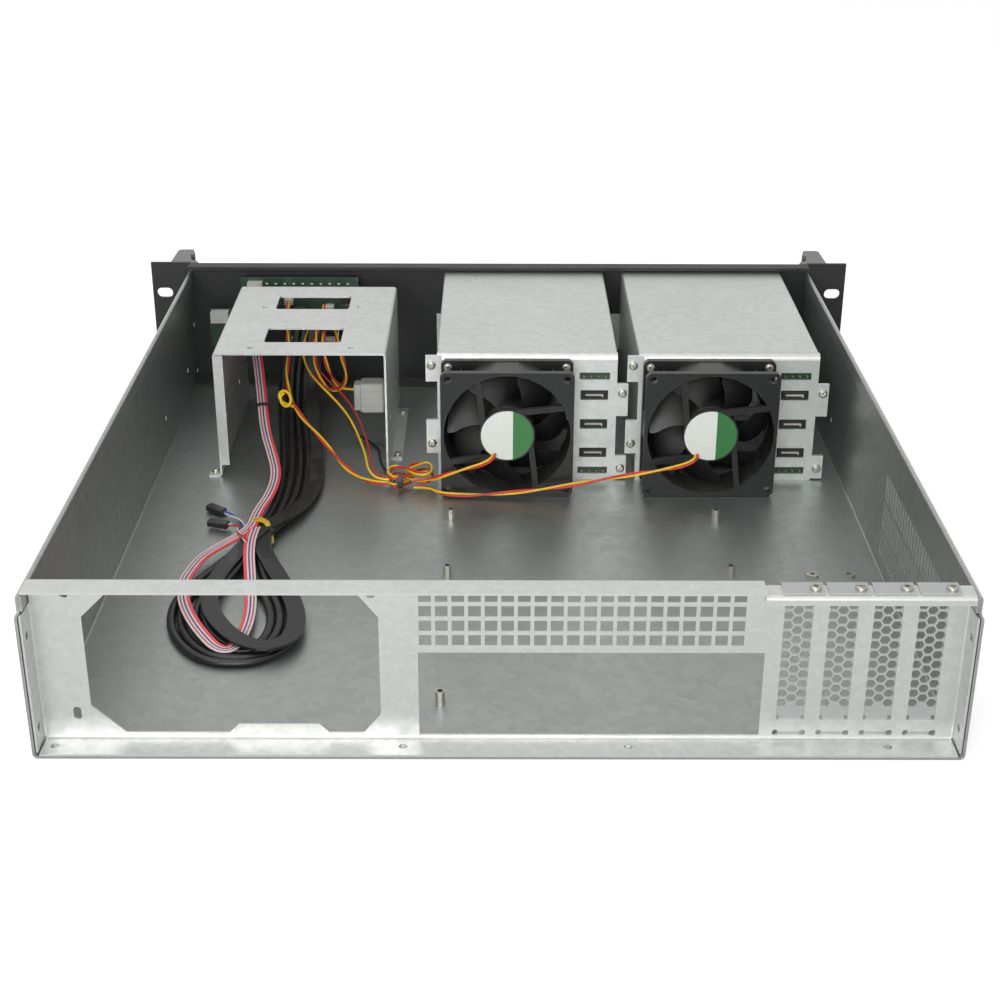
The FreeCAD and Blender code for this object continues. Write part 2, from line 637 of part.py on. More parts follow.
# ---------------------------------------------------------------- front boards, buttons and sockets
def io_board_posts():
    return [(x, IO_BOARD_Z[1] - POST_INSET) for x in (IO_BOARD_X[0] + POST_INSET, IO_BOARD_X[1] - POST_INSET)]


def control_board_posts():
    return [(x, CONTROL_BOARD_Z[0] + POST_INSET)
            for x in (CONTROL_BOARD_X[0] + POST_INSET, CONTROL_BOARD_X[1] - POST_INSET)]


def front_io_board():
    """Circuit board behind the buttons and lamps, with a tact switch behind each button."""
    board = block(IO_BOARD_X, (IO_BOARD_Y, IO_BOARD_Y + BOARD), IO_BOARD_Z)
    half = SWITCH_SIZE / 2
    switches = [block((x - half, x + half), (IO_BOARD_Y - SWITCH_HEIGHT, IO_BOARD_Y), (CONTROL_Z - half, CONTROL_Z + half))
                for x in (POWER_BUTTON_X, RESET_BUTTON_X)]
    return joined([board] + switches)


def control_board():
    """Small fan and alarm board beside the side wall."""
    return block(CONTROL_BOARD_X, (CONTROL_BOARD_Y, CONTROL_BOARD_Y + BOARD), CONTROL_BOARD_Z)


def board_headers():
    """White pin headers on the rear faces of both boards."""
    width, reach, height = IO_HEADER
    x, z = IO_HEADER_AT
    rear = CONTROL_BOARD_Y + BOARD
    io = block((x - width / 2, x + width / 2), (board_rear(), board_rear() + reach), (z - height / 2, z + height / 2))
    return Part.makeCompound([io, block(CONTROL_HEADER_X, (rear, rear + CONTROL_HEADER_REACH), CONTROL_HEADER_Z)])


def usb_board():
    """Board under the two front sockets, edge on against the panel."""
    z = USB_Z - USB_SIZE[2] / 2
    return block((USB_X[1] - USB_BOARD_EDGE, USB_X[0] + USB_BOARD_EDGE), (Y_PANEL, Y_PANEL + USB_BOARD_DEPTH), (z - BOARD, z))


def usb_sockets():
    """Two metal socket shells with their tongues."""
    width, length, height = USB_SIZE
    half, low, high = width / 2, USB_Z - height / 2, USB_Z + height / 2
    tongue_z = (USB_Z + USB_TONGUE_LIFT, USB_Z + USB_TONGUE_LIFT + USB_TONGUE[1])
    shells = []
    for x in USB_X:
        shell = block((x - half, x + half), (Y_FRONT, Y_FRONT + length), (low, high))
        mouth = block((x - half + USB_SHELL, x + half - USB_SHELL), (Y_FRONT - 1, Y_FRONT + length - 3),
                      (low + USB_SHELL, high - USB_SHELL))
        tongue = block((x - USB_TONGUE[0] / 2, x + USB_TONGUE[0] / 2), (Y_FRONT + 2, Y_FRONT + length), tongue_z)
        shells.append(joined([shell.cut(mouth), tongue]))
    return Part.makeCompound(shells)


def status_leds():
    """Lamp lenses from the board through the panel."""
    return Part.makeCompound([stud(LED_R, V(x, Y_FRONT - LED_PROUD, CONTROL_Z), V(x, IO_BOARD_Y, CONTROL_Z))
                              for x in LED_X])


def push_button(x, radius):
    """Button cap with the rim that keeps it behind the panel and a stem towards its switch."""
    front = V(x, Y_FRONT - BUTTON_PROUD, CONTROL_Z)
    rim = V(x, Y_PANEL + GAP, CONTROL_Z)
    rim_end = rim + V(0, BUTTON_RIM, 0)
    stem_end = V(x, IO_BOARD_Y - BUTTON_TRAVEL - SWITCH_HEIGHT - GAP, CONTROL_Z)
    cap = stud(radius, front, rim, 16, inside=True)
    return joined([cap, stud(radius + BUTTON_RIM, rim, rim_end), stud(STEM_R, rim_end, stem_end)])


# ---------------------------------------------------------------- drive cages
def cage_tabs(i, y, sheet, root):
    """Outward tabs of one cage or fan plate, staggered so that the two cages interlock.

    root is how far each tab starts inside the cage's outer face.
    """
    x = CAGE_X[i]
    tabs = []
    for side, rows in ((1, OUTER_TABS), (-1, INNER_TABS)):
        for low, high in rows:
            edge = x + side * CAGE_HALF
            tabs.append(block((edge - side * root, edge + side * TAB_WIDTH), (y, y + sheet), (low, high)))
    return tabs


def tab_screws(i):
    """Middle of each screw on a cage's rear tabs, as (x, z)."""
    x = CAGE_X[i]
    places = []
    for side, rows in ((1, OUTER_TABS), (-1, INNER_TABS)):
        at = x + side * (CAGE_HALF + TAB_WIDTH / 2)
        places.append((at, rows[0][1] - 6.0))
        places.append((at, (rows[1][0] + 6.8)))
    return places


def drive_cage(i):
    """Four-sided cage with two pairs of tray ledges, front tabs and rear tabs."""
    x = CAGE_X[i]
    r = LIGHT + 0.6
    outer = [(x - CAGE_HALF, SHEET, r), (x + CAGE_HALF, SHEET, r),
             (x + CAGE_HALF, CAGE_TOP, r), (x - CAGE_HALF, CAGE_TOP, r)]
    inner = [(x - CAGE_IN, CAGE_FLOOR), (x + CAGE_IN, CAGE_FLOOR),
             (x + CAGE_IN, CAGE_CEILING), (x - CAGE_IN, CAGE_CEILING)]
    run = V(0, CAGE_LENGTH, 0)
    tube = outline(outer, across(Y_PANEL)).extrude(run).cut(outline(inner, across(Y_PANEL)).extrude(run))
    pieces = [tube]
    for bay in range(1, BAYS):
        z = CAGE_FLOOR + bay * BAY_PITCH
        for side in (-1, 1):
            wall = x + side * CAGE_IN
            pieces.append(block((wall + side * 0.5, wall - side * LEDGE), (Y_PANEL, CAGE_REAR - 10), (z - LIGHT, z)))
    for side in (-1, 1):
        edge = x + side * CAGE_HALF
        pieces.append(block((edge - side * 0.5, edge + side * FRONT_TAB_WIDTH), (Y_PANEL, Y_PANEL + LIGHT), FRONT_TAB))
    rear_tabs = cage_tabs(i, PLATE_FRONT - LIGHT, LIGHT, 0.0)
    for side in (-1, 1):
        edge = x + side * CAGE_HALF
        low, high = (OUTER_TABS[1][0], OUTER_TABS[0][1]) if side > 0 else (INNER_TABS[1][0], INNER_TABS[0][1])
        rear_tabs.append(block((edge, edge - side * LIGHT), (CAGE_REAR - 1, PLATE_FRONT), (low, high - 3)))
    cage = joined(pieces + rear_tabs)
    hollow = block((x - CAGE_IN, x + CAGE_IN), (CAGE_REAR - 1, PLATE_FRONT + 1), (CAGE_FLOOR, CAGE_CEILING))
    return cut(cage, [hollow])


def fan_x(i):
    return CAGE_X[i] + FAN_OFFSET


def fan_z():
    return SHEET + GAP + FAN_SIZE / 2


def fan_plate(i):
    """Plate that closes a cage's rear: rolled top edge, fan opening and connector windows."""
    x = CAGE_X[i]
    top = CAGE_TOP - SHEET / 2
    mid = PLATE_FRONT + SHEET / 2
    rolled = fold([(mid, SHEET + TOUCH, 0), (mid, top, FAN_PLATE_BEND), (CAGE_REAR + GAP, top, 0)], SHEET,
                  sideways(x - CAGE_HALF), V(CAGE_WIDTH, 0, 0))
    plate = joined([rolled] + cage_tabs(i, PLATE_FRONT, SHEET, 3.0))
    through = (PLATE_FRONT - 1, PLATE_REAR + 1)
    cutters = [stud(FAN_BORE_R, V(fan_x(i), through[0], fan_z()), V(fan_x(i), through[1], fan_z()), FAN_SIDES)]
    strip = x + STRIP_X
    for rows, window in ((SATA_Z, SATA_WINDOW), (POWER_Z, POWER_WINDOW)):
        for z in rows:
            cutters.append(block((strip - window[0] / 2, strip + window[0] / 2), through,
                                 (z - window[1] / 2, z + window[1] / 2)))
    return cut(plate, cutters)


def backplane(i):
    """Green circuit board behind the connector strip."""
    strip = CAGE_X[i] + STRIP_X
    return block((strip - BACKPLANE_WIDTH / 2 + 1, strip + BACKPLANE_WIDTH / 2 + 1),
                 (PLATE_FRONT - BOARD, PLATE_FRONT), (CAGE_FLOOR + 1, CAGE_CEILING - FAN_PLATE_BEND - 1))


def sata_sockets():
    """Rear data sockets in their windows, on both backplanes."""
    width, height = SATA_WINDOW
    sockets = []
    for x in CAGE_X:
        strip = x + STRIP_X
        for z in SATA_Z:
            low = z - height / 2 + 0.9
            high = z + height / 2 - 0.9
            body = block((strip - width / 2 + 0.8, strip + width / 2 - 0.8), (PLATE_FRONT, PLATE_REAR + 0.4), (low, high))
            mouth = block((strip - width / 2 + 2, strip + width / 2 - 2), (PLATE_FRONT + 0.4, PLATE_REAR + 1),
                          (low + 0.9, high - 0.9))
            sockets.append(body.cut(mouth))
    return Part.makeCompound(sockets)


def power_pins():
    """Rows of square power pins on both backplanes."""
    half, pitch = POWER_PIN[0] / 2, POWER_PIN[1]
    pins = []
    for x in CAGE_X:
        strip = x + STRIP_X
        for z in POWER_Z:
            for k in range(POWER_PINS):
                at = strip + (k - (POWER_PINS - 1) / 2) * pitch
                pins.append(block((at - half, at + half), (PLATE_FRONT, PLATE_REAR + 1.2), (z - half, z + half)))
    return Part.makeCompound(pins)


def drive_connectors():
    """Drive sockets on the bay side of both backplanes."""
    sockets = []
    for x in CAGE_X:
        strip = x + STRIP_X
        for bay in range(BAYS):
            z = CAGE_FLOOR + bay * BAY_PITCH + DRIVE_SOCKET_LOW
            front = PLATE_FRONT - BOARD
            sockets.append(block((strip - 10, strip + 12), (front, front - DRIVE_SOCKET_DEPTH), (z, z + 6)))
    return Part.makeCompound(sockets)


# ---------------------------------------------------------------- fans
def fan_holes(i):
    """Middles of a fan's four corner holes, as (x, z)."""
    half = FAN_HOLE_SPAN / 2
    return [(fan_x(i) + a * half, fan_z() + b * half) for a in (-1, 1) for b in (-1, 1)]


def fan_frame(i):
    """Fan frame: two square flanges on a round duct, fixed hub and four slanted struts."""
    x, z = fan_x(i), fan_z()
    front = PLATE_REAR + TOUCH
    rear = front + FAN_DEPTH
    half = FAN_SIZE / 2
    cut_off = 2.4
    square = [(x + a * (half - (0 if flip else cut_off)), z + b * (half - (cut_off if flip else 0)))
              for a, b, flip in ((-1, -1, 0), (1, -1, 0), (1, -1, 1),
              (1, 1, 1), (1, 1, 0), (-1, 1, 0), (-1, 1, 1), (-1, -1, 1))]
    flanges = [outline(square, across(y)).extrude(V(0, FAN_FLANGE, 0)) for y in (front, rear - FAN_FLANGE)]
    duct = stud(half - 0.6, V(x, front, z), V(x, rear, z), 20)
    frame = joined([duct] + flanges)
    frame = frame.cut(stud(FAN_BORE_R, V(x, front - 1, z), V(x, rear + 1, z), FAN_SIDES))
    hub_front = rear - FAN_HUB_DEPTH
    parts = [frame, stud(FAN_HUB_R, V(x, hub_front, z), V(x, rear, z), FAN_HUB_SIDES, inside=True)]
    for k in range(FAN_STRUTS):
        parts.append(strut(k).translated(V(x, rear - FAN_STRUT, z)))
    frame = joined(parts)
    holes = [stud(FAN_HOLE_R, V(a, front + FAN_FLANGE + 1, b), V(a, rear + 1, b)) for a, b in fan_holes(i)]
    bearing = stud(FAN_SHAFT_R + RUNNING_FIT, V(x, hub_front - 1, z), V(x, rear - 1, z))
    return cut(frame, holes + [bearing])


def strut(k):
    """Strut k of a fan: tangent to the hub on one side, leaning outwards, in the fan's own place."""
    half = FAN_STRUT / 2
    side = FAN_HUB_R - FAN_STRUT
    reach = FAN_BORE_R - 4.0
    points = [(side - half, 0), (side + half, 0), (side + FAN_STRUT_LEAN + half, reach), (side + FAN_STRUT_LEAN - half, reach)]
    flat = outline(points, across(0)).extrude(V(0, FAN_STRUT, 0))
    flat.rotate(V(0, 0, 0), V(0, 1, 0), 360.0 / FAN_STRUTS * k)
    return flat


def fan_rotor(i):
    """Impeller: cup hub, shaft in the frame's bearing, and swept, pitched blades."""
    x, z = fan_x(i), fan_z()
    front = PLATE_REAR + 1.5
    cup_end = PLATE_REAR + FAN_DEPTH - FAN_HUB_DEPTH - 0.6
    hub_r = FAN_HUB_R - 0.4
    cup = stud(hub_r, V(x, front, z), V(x, cup_end, z), 3 * FAN_BLADES, inside=True)
    shaft = stud(FAN_SHAFT_R, V(x, cup_end - 1, z), V(x, PLATE_REAR + FAN_DEPTH - 1.4, z), inside=True)
    blades = []
    for k in range(FAN_BLADES):
        turned = blade(front + 1, cup_end - 1)
        turned.rotate(V(0, 0, 0), V(0, 1, 0), 360.0 / FAN_BLADES * k)
        blades.append(turned.translated(V(x, 0, z)))
    return joined([cup, shaft] + blades)


def blade(low, high):
    """One cambered and pitched blade, drawn out from inside the hub to the tip circle."""
    corner = BLADE_HALF + BLADE_LEAN + BLADE_THICK
    tip = math.sqrt((FAN_BORE_R - FAN_TIP_GAP) ** 2 - corner ** 2)
    spans = len(BLADE_CAMBER) - 1
    edge = [(2 * BLADE_HALF * k / spans - BLADE_HALF, low + (high - low) * share) for k, share in enumerate(BLADE_CAMBER)]
    other = [(t + BLADE_THICK, y) for t, y in reversed(edge)]
    return outline(edge + other, level(BLADE_ROOT)).extrude(V(BLADE_LEAN, 0, tip - BLADE_ROOT))


def fan_screws():
    """Self-tapping screws in every fan's corner holes, heads on the rear of the front flange."""
    screws = []
    for i in range(len(CAGE_X)):
        y = PLATE_REAR + FAN_FLANGE
        screws += [screw(V(a, y, b), V(0, 1, 0)) for a, b in fan_holes(i)]
    return Part.makeCompound(screws)


# ---------------------------------------------------------------- drive trays
def tray_bay(n):
    """Cage middle and lowest Z of drive tray n, counted up each cage in turn."""
    cage, bay = divmod(n, BAYS)
    return CAGE_X[cage], CAGE_FLOOR + bay * BAY_PITCH + GAP


def lever_pin(n):
    """X of the lever's pin on tray n."""
    return tray_bay(n)[0] + TRAY_HALF - LEVER_END


def drive_tray(n):
    """Drive sled: open floor, low side walls, and a front moulding with lever recess and slots."""
    x, low = tray_bay(n)
    bezel = block((x - TRAY_HALF, x + TRAY_HALF), BEZEL_Y, (low, low + TRAY_HEIGHT))
    sled = block((x - TRAY_HALF, x + TRAY_HALF), (BEZEL_Y[1] - 1, TRAY_REAR), (low, low + TRAY_WALL))
    inside = TRAY_HALF - TRAY_SHEET
    hollow = block((x - inside, x + inside), (BEZEL_Y[1], TRAY_REAR + 1), (low + TRAY_SHEET, low + TRAY_WALL + 1))
    tray = joined([sled.cut(hollow), bezel])
    middle = low + TRAY_HEIGHT / 2
    pin_x = lever_pin(n)
    half = LEVER_HEIGHT / 2
    recess_x = (pin_x + LEVER_BARREL_R + GAP, pin_x - LEVER_LENGTH - GAP)
    cutters = [block(recess_x, (BEZEL_Y[0] - 1, BEZEL_Y[0] + LEVER_RECESS), (middle - half - GAP, middle + half + GAP))]
    cutters.append(block((x - TRAY_HALF + TRAY_FRAME, x + TRAY_HALF - TRAY_FRAME),
                         (BEZEL_Y[1] + TRAY_FRAME, TRAY_REAR - TRAY_FRAME), (low - 1, low + 3)))
    for k in range(TRAY_VENTS):
        at = x - TRAY_HALF + TRAY_VENT_INSET + k * TRAY_VENT[1]
        cutters.append(block((at, at + TRAY_VENT[0]), (BEZEL_Y[0] - 1, BEZEL_Y[1] + 1), (low + 4, low + TRAY_HEIGHT - 4)))
    tray = cut(tray, cutters)
    pin = stud(LEVER_PIN_R, V(pin_x, LEVER_Y, middle - half - 2), V(pin_x, LEVER_Y, middle + half + 2), inside=True)
    return joined([tray, pin])


def tray_lever(n):
    """Release lever with its barrel round the tray's pin and a turned-in grip edge."""
    middle = tray_bay(n)[1] + TRAY_HEIGHT / 2
    pin_x = lever_pin(n)
    half = LEVER_HEIGHT / 2
    far = pin_x - LEVER_LENGTH
    face = BEZEL_Y[0]
    points = [(pin_x, face), (pin_x, face + LEVER_THICK), (far + 12, face + LEVER_THICK), (far, face + 1.4), (far, face)]
    plate = outline(points, level(middle - half)).extrude(V(0, 0, LEVER_HEIGHT))
    low = V(pin_x, LEVER_Y, middle - half)
    high = V(pin_x, LEVER_Y, middle + half)
    barrel = stud(LEVER_BARREL_R, low, high, inside=True)
    bore = stud(LEVER_PIN_R + RUNNING_FIT, low - V(0, 0, 1), high + V(0, 0, 1))
    return joined([plate, barrel]).cut(bore)


# ---------------------------------------------------------------- drive bracket
def drive_bracket():
    """Upturned channel for one drive: top with two windows, side walls, rear return and feet."""
    half = BRACKET_WIDTH / 2
    wall = half - SHEET / 2
    left = BRACKET_X - wall
    right = BRACKET_X + wall
    top = BRACKET_TOP - SHEET / 2
    rear = BRACKET_Y[1]
    run = V(0, BRACKET_LENGTH, 0)
    low = SHEET + SHEET / 2
    channel = fold([(left - BRACKET_FOOT, low, 0), (left, low, BEND), (left, top, BEND), (right, top, BEND),
                    (right, low, BEND), (right + BRACKET_FOOT, low, 0)], SHEET, across(BRACKET_Y[0]), run)
    back = block((right - BRACKET_RETURN, right), (rear - SHEET, rear), (SHEET + 8, top - 1))
    bracket = joined([channel, back])
    cutters = []
    far = (BRACKET_X - half - BRACKET_FOOT - 5, BRACKET_X - half)
    for y in ((BRACKET_Y[0] - 1, BRACKET_Y[0] + 18), (rear - 27, rear + 1)):
        cutters.append(block(far, y, (0, low + SHEET / 2 + BEND)))
    near = (BRACKET_X + half, BRACKET_X + half + BRACKET_FOOT + 5)
    for y in ((BRACKET_Y[0] - 1, BRACKET_Y[0] + 14), (BRACKET_Y[0] + 26, rear - 12)):
        cutters.append(block(near, y, (0, low + SHEET / 2 + BEND)))
    length, width = BRACKET_SLOT
    for start in BRACKET_SLOTS_FROM_REAR:
        y = rear - start
        corners = [(BRACKET_X + a * length / 2, y + b * width / 2, BRACKET_SLOT_R)
                   for a, b in ((-1, -1), (1, -1), (1, 1), (-1, 1))]
        cutters.append(outline(corners, level(top - 2)).extrude(V(0, 0, 4)))
    for x, y in ssd_holes():
        cutters.append(stud(WALL_HOLE_R, V(x, y, top - 2), V(x, y, top + 2), 6))
    for inset in BRACKET_SIDE_HOLES:
        y = rear - inset
        cutters.append(stud(WALL_HOLE_R, V(left - 2, y, BRACKET_SIDE_HOLE_Z), V(right + 2, y, BRACKET_SIDE_HOLE_Z), 6))
    return cut(bracket, cutters)


def ssd_holes():
    """Small drive's screw holes in the bracket's top."""
    wide, deep = SSD_HOLES
    rear = BRACKET_Y[1] - SSD_FIRST
    return [(BRACKET_X + side * wide / 2, y) for side in (-1, 1) for y in (rear, rear - deep)]


def bracket_screw_places():
    """Screws through the bracket's feet, as (x, y)."""
    rear = BRACKET_Y[1]
    inner = BRACKET_X - BRACKET_WIDTH / 2 - BRACKET_FOOT / 2
    outer = BRACKET_X + BRACKET_WIDTH / 2 + BRACKET_FOOT / 2
    return [(inner, rear - 32), (inner, rear - 103), (outer, rear - 6), (outer, BRACKET_Y[0] + 20)]


def case_screws():
    """Pan head screws of the cages' rear tabs, the bracket's feet and the card covers' tabs."""
    screws = []
    for i in range(len(CAGE_X)):
        for x, z in tab_screws(i):
            screws.append(screw(V(x, PLATE_REAR, z), V(0, 1, 0)))
    for x, y in bracket_screw_places():
        screws.append(screw(V(x, y, 2 * SHEET), V(0, 0, 1)))
    for i in range(CARD_SLOTS):
        screws.append(screw(V(screw_x(i), screw_y(), SHELF_TOP + LIGHT), V(0, 0, 1)))
    return Part.makeCompound(screws)


# ---------------------------------------------------------------- cables
def cable(name, points, radius, sides=6):
    """Plain tube: straight runs joined by tangent arcs, each as wide as its two runs allow."""
    path = [V(*p) for p in points]
    way = (path[1] - path[0]).normalize()
    section = cable_section(path[0], way, radius, sides)
    here = path[0]
    solids = []
    radii = []
    for i in range(1, len(path) - 1):
        onward = (path[i + 1] - path[i]).normalize()
        turn = way.getAngle(onward)
        reach = BEND_SHARE * min((path[i] - path[i - 1]).Length, (path[i + 1] - path[i]).Length)
        start = path[i] - way * reach
        solids.append(section.extrude(start - here))
        section = section.translated(start - here)
        axis = way.cross(onward).normalize()
        bend = reach / math.tan(turn / 2)
        centre = start + axis.cross(way) * bend
        solids.append(section.revolve(centre, axis, math.degrees(turn)))
        section = section.copy()
        section.rotate(centre, axis, math.degrees(turn))
        here = path[i] + onward * reach
        way = onward
        radii.append(round(bend, 1))
    solids.append(section.extrude(path[-1] - here))
    print(name, "diameter", 2 * radius, "bend radii", radii)
    return solids[0].fuse(solids[1:])


def cable_section(at, way, radius, sides):
    """Few-sided section of a cable, square to its way."""
    side = way.cross(V(0, 0, 1)).normalize()
    up = side.cross(way)
    turns = [2 * math.pi * (k + 0.5) / sides for k in range(sides)]
    points = [at + side * (radius * math.cos(a)) + up * (radius * math.sin(a)) for a in turns]
    return Part.Face(Part.makePolygon(points + [points[0]]))


def plug(points, length, width, height):
    """Plug body on the end of a cable, in line with its last run."""
    at = V(*points[-1])
    way = (at - V(*points[-2])).normalize()
    side = way.cross(V(0, 0, 1)).normalize() * (width / 2)
    up = side.cross(way).normalize() * (height / 2)
    corners = [at + side + up, at - side + up, at - side - up, at + side - up]
    return Part.Face(Part.makePolygon(corners + [corners[0]])).extrude(way * length)


def board_rear():
    """Rear face of the front circuit board, where the panel's cables start."""
    return IO_BOARD_Y + BOARD


def fan_rear():
    """Rear face of both fans."""
    return PLATE_REAR + FAN_DEPTH


def cable_bundle():
    """Black cables of the front board, tied together and laid on the floor."""
    points = [(139, board_rear(), 58), (139, -189, 58), (136.2, -152, 35), (130.5, -126, 24.5), (124.5, -100, 13),
              (120.6, -74, 6.2), (120.5, -47, 5.4), (126.5, -18, 5.4), (133, 8, 6.0), (135.5, 21.5, 6.6),
              (135.5, COIL_NECK_Y, 6.6)]
    return cable("cable_bundle", points, BUNDLE_R, 8)


def ribbon_cable():
    """Flat signal cable from the white header, drawn as a round tube."""
    points = [(IO_HEADER_AT[0], board_rear() + IO_HEADER[1], IO_HEADER_AT[1]), (168, -186, 75.5), (163.5, -158, 59), (158, -136, 46),
              (152.7, -106.5, 35.8), (148.4, -81.5, 21.9), (142, -63, 11.5), (136, -42, 4.6), (137, -14, 3.7),
              (141, 8, 4.0), (142.2, 21, 4.9), (142.2, COIL_NECK_Y, 4.9)]
    return cable("ribbon_cable", points, RIBBON_R)


def cable_coil():
    """Spare length of the tied cables, coiled flat on the floor behind the tie."""
    low, high = SHEET + GAP, SHEET + GAP + COIL_HEIGHT
    outer = [(130.5, COIL_NECK_Y), (152, COIL_NECK_Y), (159, 56), (168, 88), (174, 116), (176, 138), (171, 158),
             (160, 171), (147, 178), (128, 176), (112, 170), (103, 157), (100.5, 140), (103, 120), (112, 92), (123, 62)]
    inner = [(139, 80), (150, 96), (157, 118), (155, 140), (146, 152), (133, 154), (123, 145), (121, 128), (127, 104)]
    run = V(0, 0, high - low)
    return outline(outer, level(low)).extrude(run).cut(outline(inner, level(low)).extrude(run))


def cable_tie():
    """Tie round the bundle and the flat cable, with its loose tail."""
    x, y, z = (131.2, 144.5), (COIL_NECK_Y - 8, COIL_NECK_Y - 4), (SHEET + TIE_THICK + 0.1, 10.9)
    inner = block(x, y, z)
    outer = block((x[0] - TIE_THICK, x[1] + TIE_THICK), y, (z[0] - TIE_THICK, z[1] + TIE_THICK))
    tail_x = x[0] - 3.5 * TIE_THICK
    foot = block((tail_x, x[0] - TIE_THICK / 2), y, (4, 4 + TIE_THICK))
    tail = block((tail_x, tail_x + TIE_THICK), (y[0], COIL_NECK_Y + 5), (4, 4 + TIE_THICK))
    return joined([outer.cut(inner), foot, tail])


def fan_lead_1():
    """Three wires from the first fan's hub to the loose loops beside it."""
    x = fan_x(0) + 7.9
    points = [(x, fan_rear(), 29.3), (x, -21.3, 29.3), (10.2, -21.1, 24.9), (20, -22.5, 21.6), (34, -24, 16.5),
              (41.2, -32.6, 9.8), (LOOPS_X[0], -32.6, 9.8)]
    return cable("fan_lead_1", points, LEAD_R)


def fan_lead_2():
    """Three wires from the second fan's hub, past the first fan, to the loose loops."""
    x = fan_x(1) + 7.9
    points = [(x, fan_rear(), 29.3), (x, -21.3, 29.3), (-112.4, -21.1, 25.0), (-100.5, -22, 21.8), (-85.3, -21.5, 19.4),
              (-61.3, -21.9, 14.9), (-37.2, -21.3, 10.2), (-12.9, -21.8, 6.8), (8, -22.3, 4.6), (21, -22.8, 3.9),
              (36, -24.2, 4.3), (43.2, -34, 4.6), (LOOPS_X[0], -34, 4.6)]
    return cable("fan_lead_2", points, LEAD_R)


def lead_loops():
    """Spare length of the fan leads, looped through itself."""
    return stud(LOOPS_R, V(LOOPS_X[0], -35.5, LOOPS_Z), V(LOOPS_X[1], -35.5, LOOPS_Z))


def board_lead():
    """Red, yellow and black wires from the loops to the front board."""
    points = [(LOOPS_X[1], -36.5, 5.6), (75, -36.5, 5.6), (86, -44.5, 5.4), (96.5, -54.5, 8.6), (106, -64, 13.2),
              (116, -73, 18.9), (127, -84, 24.3), (136, -96, 30.5), (139.5, -112, 38.5), (138, -131, 47),
              (141, -156, 56), (145, -186, 65), (145, board_rear(), 65)]
    return cable("board_lead", points, LEAD_R)


def signal_lead():
    """Yellow wires from the loops to the front board."""
    points = [(LOOPS_X[1], -33.5, 9.5), (74, -33.5, 9.5), (80.5, -40.5, 12.5), (84.5, -54, 16.5), (93, -69, 20.3),
              (101, -83, 25), (112, -98, 30), (123.5, -113.5, 34.8), (130.4, -129.5, 38.7), (133.5, -150, 44.5),
              (131, -172, 50), (129, -191, 54), (129, board_rear(), 54)]
    return cable("signal_lead", points, WIRE_R)


def power_route():
    return [(117, board_rear(), 60), (117, -191, 60), (118, -167, 55), (116, -147, 46), (110, -131, 38),
            (102.3, -124, 33), (94.5, -124, 33)]


def power_lead():
    """Wires from the front board to the white power plug."""
    return cable("power_lead", power_route(), LEAD_R)


def power_plug():
    """White four-pin power plug."""
    x, y, z = power_route()[-1]
    return block((x - POWER_PLUG[0], x), (y - POWER_PLUG[1] / 2, y + POWER_PLUG[1] / 2), (z + 6 - POWER_PLUG[2], z + 6))


def signal_routes():
    return [[(147.2, COIL_NECK_Y, 3.2), (147.2, 26, 3.2), (151, 14, 3.3), (157, 5.5, 3.5), (164, 0.5, 3.6)],
            [(150.6, COIL_NECK_Y, 6.6), (150.6, 28, 6.6), (152.8, 22.5, 5.2), (158.5, 20.5, 4.8)]]


def signal_wires():
    """Thin wires of the front panel plugs, out of the tied bundle."""
    return Part.makeCompound([cable("signal_wires", route, WIRE_R) for route in signal_routes()])


def signal_plugs():
    """Small black plugs on the thin wires."""
    return Part.makeCompound([plug(route, *SIGNAL_PLUG) for route in signal_routes()])


# ---------------------------------------------------------------- build
def build():
    """Every piece by its node name."""
    nodes = {
        "base_tray": base_tray(),
        "board_standoffs": board_standoffs(),
        "press_nuts": press_nuts(),
        "rear_panel": rear_panel(),
        "front_panel": front_panel(),
        "handle_left": handle(-1),
        "handle_right": handle(1),
        "front_io_board": front_io_board(),
        "control_board": control_board(),
        "board_headers": board_headers(),
        "usb_board": usb_board(),
        "usb_sockets": usb_sockets(),
        "status_leds": status_leds(),
        "power_button": push_button(POWER_BUTTON_X, POWER_BUTTON_R),
        "reset_button": push_button(RESET_BUTTON_X, RESET_BUTTON_R),
        "sata_sockets": sata_sockets(),
        "power_pins": power_pins(),
        "drive_connectors": drive_connectors(),
        "fan_screws": fan_screws(),
        "drive_bracket": drive_bracket(),
        "case_screws": case_screws(),
        "cable_bundle": cable_bundle(),
        "ribbon_cable": ribbon_cable(),
        "cable_coil": cable_coil(),
        "cable_tie": cable_tie(),
        "fan_lead_1": fan_lead_1(),
        "fan_lead_2": fan_lead_2(),
        "lead_loops": lead_loops(),
        "board_lead": board_lead(),
        "signal_lead": signal_lead(),
        "power_lead": power_lead(),
        "power_plug": power_plug(),
        "signal_wires": signal_wires(),
        "signal_plugs": signal_plugs(),
    }
    for i in range(CARD_SLOTS):
        nodes["slot_cover_%d" % (i + 1)] = slot_cover(i)
    for i in range(len(CAGE_X)):
        nodes["drive_cage_%d" % (i + 1)] = drive_cage(i)
        nodes["fan_plate_%d" % (i + 1)] = fan_plate(i)
        nodes["backplane_%d" % (i + 1)] = backplane(i)
        nodes["fan_frame_%d" % (i + 1)] = fan_frame(i)
        nodes["fan_rotor_%d" % (i + 1)] = fan_rotor(i)
    for n in range(len(CAGE_X) * BAYS):
        nodes["drive_tray_%d" % (n + 1)] = drive_tray(n)
        nodes["tray_lever_%d" % (n + 1)] = tray_lever(n)
    return nodes


os.makedirs("parts", exist_ok=True)
for name, shape in build().items():
    shape.exportStep("parts/%s.step" % name)
    print(name, len(shape.Solids), round(shape.Volume), shape.isValid())
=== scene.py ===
"""Rackmount server case, empty and without its lid: its finishes, cables and small fittings."""
import math

import bmesh
import bpy
from mathutils import Matrix, Vector


